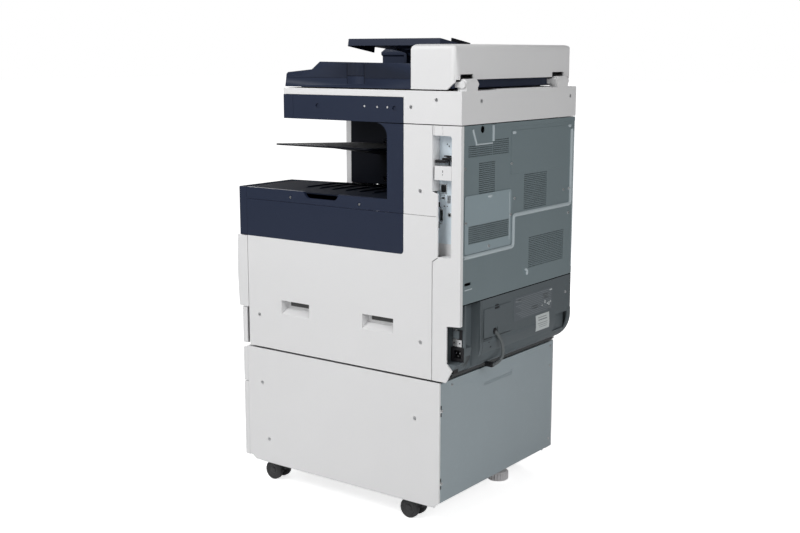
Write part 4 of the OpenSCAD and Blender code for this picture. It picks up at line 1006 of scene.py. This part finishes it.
# A black block fills the hole in the casing corner as painted shadow.
block_piece("casing_corner_hole", [((271, 308, 382.5), (289, 316.6, 396))], black, 0.8)
wraps("rating_label", [(-130, 55, 463, 521)], 0.3, label_grey)
wraps("rating_label_print", [
    *[(-126 + 2.0 * (row % 3), 46 - 9.0 * (row % 4), 515.5 - 4.4 * row, 517.0 - 4.4 * row)
      for row in range(12)],
    (20, 48, 508, 513), (-110, -84, 497, 509), (-60, -30, 480, 486), (-124, -108, 466, 472),
], 0.42, label_ink, 0.2)
wraps("rating_label_marks", [
    (-128, -116, 513, 516), (-96, -92, 484, 492), (-108, -104, 480, 484), (-116, -112, 476, 486),
    (-124, -120, 482, 487),
    (-82, -78, 480, 482),
], 0.5, sticker_white, 0.2)
work = bmesh.new()
add_wrap(work, -120, -54, 418, 459, 0.3, slant=4.0)
hand_over(as_piece("white_sticker", work), sticker_white)
wraps("white_sticker_print", [(-106, -64, 444, 446.4), (-108, -60, 436, 437.2), (-108, -66, 431, 432.0),
                              (-106, -70, 426, 427.0), (-104, -62, 451, 452.4)], 0.5, label_ink,
                              0.2)
work = bmesh.new()
add_wrap(work, -226, -211, 372, 452, 0.5, thick=1.2)
hand_over(as_piece("casing_end_step", work), grey_plastic)

# ---- Mains inlet ------------------------------------------------------------------------------
# A black three-pin inlet snapped into the recess beside the channel, under a plated earthing
# bracket. The lead itself is unplugged.
dressed("power_inlet", black)
block_piece("inlet_bracket", [((268.6, 301, 443), (270.4, 325, 459)),
                              ((268.6, 301, 459), (269.8, 312, 484))], bright, 0.4)
block_piece("inlet_block", [((268.4, 303, 462), (273.0, 318, 480))], grey_plastic, 0.6)
work = bmesh.new()
for y, z in [(308, 427), (318, 427), (313, 420)]:
    bmesh.ops.create_cube(work, size=1.0, matrix=Matrix.Translation(at(259, y, z)) @ Matrix.Diagonal(
        (0.014, 0.0016, 0.0042, 1.0)))
hand_over(as_piece("inlet_pins", work), bright)
# Black discs in the bracket's two holes are painted shadow.
work = bmesh.new()
for y, z in [(305, 451), (320, 451)]:
    add_turned(work, [(0.0, 270.2), (1.8, 270.2), (1.8, 270.8), (0.0, 270.8)], (0.0, y, z), "x", 20)
hand_over(as_piece("inlet_bracket_holes", work), black)

# ---- Looped link cable ------------------------------------------------------------------------
# A short grey jacketed cable that leaves the casing through a rubber grommet, hangs in a loop and
# ends in a moulded plug in the casing below.
CABLE_R = 4.0
CABLE_ROUTE = [(139, 318, 460), (139, 326, 459), (138, 333, 454), (134, 339, 444), (128, 343, 430),
               (124, 344, 414),
               (122, 343, 400), (123, 340, 390), (126, 334, 381), (130, 327, 375), (132, 322, 373)]
jacket = moulded("cable_jacket", (0.15, 0.165, 0.17), 0.42, grain=300.0, depth=0.0001)
smooth_route = []
for before, first, second, after in zip([CABLE_ROUTE[0]] + CABLE_ROUTE, CABLE_ROUTE, CABLE_ROUTE[1:],
                                        CABLE_ROUTE[2:] + [CABLE_ROUTE[-1]]):
    before, first, second, after = Vector(before), Vector(first), Vector(second), Vector(after)
    for step in range(5):
        t = step / 5
        bend = 2 * before - 5 * first + 4 * second - after
        twist = 3 * first - before - 3 * second + after
        smooth_route.append(0.5 * (2 * first + (second - before) * t + bend * t ** 2 + twist * t ** 3))
smooth_route.append(Vector(CABLE_ROUTE[-1]))
cable_mesh = rod("cable", smooth_route, CABLE_R, 4)
cable_mesh.shade_smooth()
cable = link(bpy.data.objects.new("cable_jacket", cable_mesh))
hand_over(cable, jacket, nodes=["link_cable"])
work = bmesh.new()
add_turned(work, [(0.0, 327.0), (7.6, 327.0), (7.6, 331.6), (6.8, 333.2), (4.2, 333.6), (0.0, 333.6)],
           (139, 0, 457), "y", 28)
hand_over(as_piece("cable_grommet", work), black)
block_piece("cable_plug", [((125.5, 302, 367), (138.5, 324, 377.5))], black, 1.6, 3)

# ---- Inside the engine ------------------------------------------------------------------------
# Four toner cartridges side by side behind the front door, and the fuser at the left, where the
# sheets leave the paper path.
fuser_plastic = moulded("fuser_plastic", (0.22, 0.2, 0.17), 0.5)
skinned("toner_cartridges", 0.8, drawer_plastic)
skinned("fuser_unit", 0.6, fuser_plastic)
TONER_TINTS = {"black": (0.02, 0.02, 0.02), "cyan": (0.02, 0.22, 0.42), "magenta": (0.45, 0.03, 0.16),
               "yellow": (0.62, 0.48, 0.03)}
for place, (tint, colour) in enumerate(TONER_TINTS.items()):
    x = -150.0 + 100.0 * place
    tab = blocks(f"toner_tab_{tint}", [((x - 14, -298.4, 549), (x + 14, -295.6, 571))], 0.9)
    hand_over(tab, moulded(f"toner_{tint}", colour, 0.4))

# ---- Scanner ----------------------------------------------------------------------------------
# A light moulded tub with a glass top, a dark trim round its front and right side, and a lamp
# carriage on a rod inside. The edge is raised between the hinges.
window = Finish("platen_glass", Roughness=0.04, IOR=1.5, Transmission_Weight=0.92, Specular_IOR_Level=0.5)
smears = window.noise(7.0, 5.0)
window.feed(Base_Color=window.blend(smears, (0.80, 0.88, 0.87, 1.0), (0.86, 0.93, 0.92, 1.0)),
            Normal=window.relief(smears, 0.00002))
skinned("scanner_housing", 1.1, light_plastic)
skinned("scanner_trim", 0.6, navy)
dressed("platen_glass", window.material)
skinned("scan_carriage", 0.8, drawer_plastic)
work = bmesh.new()
ridge = [(-98, 1015), (-90, 1018.2), (152, 1018.2), (160, 1015)]
faces = [[work.verts.new(at(x, y, z)) for x, z in ridge] for y in (323.0, 335.6)]
work.faces.new(faces[0])
work.faces.new(reversed(faces[1]))
for k in range(4):
    n = (k + 1) % 4
    work.faces.new([faces[0][n], faces[0][k], faces[1][k], faces[1][n]])
bmesh.ops.recalc_face_normals(work, faces=work.faces)
round_edges(work, list(work.edges), 0.0005, 2)
hand_over(even_normals(as_piece("scanner_raised_edge", work)), light_plastic)
block_piece("scanner_registration_strips",
    [((-172, 150.4, 1015.4), (262, 158, 1015.98)), ((-186, -152, 1015.4), (-172.6, 150, 1015.98))], navy,
    0.2, 1)

# ---- Control panel ----------------------------------------------------------------------------
# A tilting touch panel on two arms at the front left: a dark shell, a glossy glass face with plain
# tiles under it, and two round buttons.
PANEL_Y = -188.0
PANEL_Z = 992.0
PANEL_TILT = math.radians(9.0)
panel_place = Matrix.Translation(at(0, PANEL_Y, PANEL_Z)) @ Matrix.Rotation(PANEL_TILT, 4, "X")


def on_panel(piece):
    """Lays a piece made flat in the panel's own frame onto the tilted panel."""
    piece.data.transform(panel_place)
    return piece


screen_glass = moulded("screen_glass", (0.012, 0.014, 0.018), 0.12, grain=40.0, depth=0.000004, rub=0.1,
                       sheen=0.6)
tile_paint = moulded("screen_tiles", (0.10, 0.16, 0.24), 0.2, depth=0.000004, rub=0.0)
skinned("control_panel", 2.4, deep_navy_with_shade, steps=3)
skinned("home_button", 0.6, light_plastic)
skinned("power_button", 0.6, light_plastic)
hand_over(on_panel(blocks("panel_screen", [((-134.4, -125.4, 10.6), (19.4, -24.6, 11.7))], 0.5)),
          screen_glass, "panel")
tiles = [((-126 + 29 * column, -116 + 30 * row, 11.5), (-103 + 29 * column, -94 + 30 * row, 11.85))
         for column in range(5) for row in range(3)]
hand_over(on_panel(blocks("panel_tiles", tiles, 0.15, 1)), tile_paint, "panel")

# ---- Document feeder body ---------------------------------------------------------------------
# The feeder is also the lid. Its dark body holds the rollers and the well for finished sheets, and
# a white backing sheet is fixed under it. Two light hinges carry it at the rear.
LATCH_Y = (18.0, 68.0)
LIGHT_END_M = 0.3095
body_cuts = [((294.1, -170, 1040.6), (296, 18, 1041.1)), ((294.1, 68, 1040.6), (296, 199, 1041.1))]
body_cuts += [((293.4, y - 0.9, 1028), (296, y + 0.9, 1074)) for y in LATCH_Y]
body_cuts += [((293.4, LATCH_Y[0], 1045.2), (296, LATCH_Y[1], 1046.8))]
feeder = softened("feeder_body_skin", "feeder_body", 1.0)
carved(feeder, *body_cuts)
hand_over(feeder, navy, "lid", ["feeder_body"])
feeder.data.materials.append(light_plastic)
for face in feeder.data.polygons:
    if face.center.y > LIGHT_END_M:
        face.material_index = 1
block_piece("feeder_latch", [((293.6, LATCH_Y[0] + 3, 1048), (294.9, LATCH_Y[1] - 3, 1071))], navy,
            1.0, body="lid")
# Dark strips in the cut grooves round the latch and along the crease line are painted shadow.
block_piece("feeder_latch_grooves", [
    *[((292.4, y - 1.6, 1028), (294.5, y + 1.6, 1074)) for y in LATCH_Y],
    ((292.4, LATCH_Y[0], 1044.4), (294.5, LATCH_Y[1], 1047.4)), ((292.4, -158, 1040.2), (294.3, 17, 1041.4)),
], deep_navy_with_shade, 0.2, 1, body="lid")
skinned("feeder_hinges", 1.4, light_plastic, steps=3)
block_piece("platen_backing_sheet", [((-172, -152, 1016.6), (262, 150, 1018.6))], light_plastic,
            0.6, body="lid")

# ---- Feeder covers and trays ------------------------------------------------------------------
# A light rear cover with round corners hides the feeder motors, a dark cover lifts off the rollers
# on two pins, and the dark input tray with its two paper guides climbs over the sheet well.
skinned("feeder_rear_cover", 0.8, light_plastic)
skinned("feeder_top_cover", 1.0, navy)
skinned("input_tray", 0.8, navy)
skinned("guide_front", 0.5, deep_navy_with_shade)
skinned("guide_rear", 0.5, deep_navy_with_shade)
dressed("feed_roller", rubber)

# ---- Cover screws -----------------------------------------------------------------------------
# Plated pan-head screws with a cross recess hold every cover. Those on the light covers sit in
# shallow holes, and the three on the scanner trim are white caps.
SIDE_X = 295.0
SIDE_SCREWS = [(-275, 444), (228, 445), (-270, 266), (-250, 118), (212, 261), (226, 793), (200, 979),
               (269, 996)]
PANEL_SCREWS = [(77, 845), (61, 762), (-174, 761), (-202, 700), (273, 847), (-202, 762)]
PLATE_SCREWS = [(175, 664), (81, 726), (271, 726)]
CABINET_SCREWS = [(244, 342), (-214, 290), (-214, 90), (-214, 342)]
EDGE_SLOTS = [(289 + 9, 4), (289 - 9, 4), (114 + 9, 4), (114 - 9, 4)]
TRIM_CAPS = [(-164, 751), (51, 750)]
DOTS = [(68, 978), (105, 977), (134, 977)]
SCANNER_SCREWS = [(216, 993), (-190, 993)]
FACE_REAR = (-math.pi / 2, 0.0, 0.0)
FACE_SIDE = (0.0, math.pi / 2, 0.0)

screw = Pattern("screws_on_points", Head="Float", Height="Float", Turn="Vector")
dome = screw.node("GeometryNodeMeshCone", inputs={
    "Vertices": 24, "Side Segments": 2, "Radius Top": screw.size("Head") * 0.78,
    "Radius Bottom": screw.size("Head"),
    "Depth": screw.size("Height")})
depth = screw.size("Height")
arms = []
for wide, tall in ((1.3, 0.28), (0.28, 1.3)):
    cube = screw.node("GeometryNodeMeshCube", inputs={"Size": screw.node("ShaderNodeCombineXYZ", inputs={
        0: screw.size("Head") * wide, 1: screw.size("Head") * tall, 2: depth})})
    arms.append(screw.node("GeometryNodeTransform", inputs={"Geometry": cube, "Translation": screw.node(
        "ShaderNodeCombineXYZ", inputs={2: depth * 0.9})}))
head = screw.node("GeometryNodeMeshBoolean", {"operation": "DIFFERENCE"}, {"Mesh 1": dome, "Mesh 2": arms})
screw.finish(head, Rotation=screw.size("Turn"))


def screws(name, places, turn, head, height, finish, nodes=(), body="machine"):
    piece = screw.grow(name, places, Head=head * MM, Height=height * MM, Turn=turn, Finish=finish)
    return hand_over(piece, finish, body, nodes)


screws("side_screws", [(SIDE_X - 2.2, y, z) for y, z in SIDE_SCREWS], FACE_SIDE, 4.0, 1.8, zinc,
       nodes=["cover_screws"])
screws("panel_screws", [(x, REAR_Y, z) for x, z in PANEL_SCREWS] + [(x, PLATE_Y, z) for x, z in PLATE_SCREWS]
       + [(-198, REAR_Y, 496)], FACE_REAR, 3.6, 1.9, zinc)
screws("cabinet_screws", [(x, 282.0, z) for x, z in CABINET_SCREWS], FACE_REAR, 3.4, 1.8, zinc)
# Black strips above and below the edge screws are painted shadow in the slots.
block_piece("cabinet_edge_slots", [((286.5, 281.8, z - half), (290, 282.7, z + half))
                                   for z, half in EDGE_SLOTS], painted_shadow_black, 0.2, 1)
screws("cabinet_edge_screws", [(286, 282.0, z) for z in (289, 114)], FACE_REAR, 4.6, 2.2, bright)
screws("trim_caps", [(SIDE_X - 2.4, y, z) for y, z in TRIM_CAPS], FACE_SIDE, 3.2, 2.2, bright)
screws("trim_dots", [(SIDE_X - 2.2, y, z) for y, z in DOTS], FACE_SIDE, 2.6, 2.0, light_plastic)
screws("scanner_screws", [(x, 334.4, z) for x, z in SCANNER_SCREWS], FACE_REAR, 4.0, 1.8, zinc)

# ---- Floor ------------------------------------------------------------------------------------
# A plain white floor that brightens into the surround, so that only soft shadows show on it.
# Its flat sheet is made with the studio, and its glow is seen by the camera only.
floor_finish = Finish("floor", Specular_IOR_Level=0.1, Emission_Strength=1.0)
away = floor_finish.node("ShaderNodeVectorMath", {"operation": "LENGTH"}, {0: floor_finish.place}, "Value")
fade = floor_finish.bands(away, FLOOR_NEAR_M, FLOOR_FAR_M)
seen = floor_finish.node("ShaderNodeLightPath", output="Is Camera Ray")
lit = seen * (fade * (1.0 - FLOOR_GLOW_NEAR) + FLOOR_GLOW_NEAR)
floor.data.materials.append(floor_finish.feed(
    Base_Color=floor_finish.blend(floor_finish.noise(2.0), (0.90, 0.90, 0.90, 1.0), (0.93, 0.93, 0.93, 1.0)),
    Roughness=floor_finish.noise(3.0) * 0.1 + 0.8,
    Emission_Color=floor_finish.blend(lit, (0.0, 0.0, 0.0, 1.0), (1.0, 1.0, 1.0, 1.0)),
))
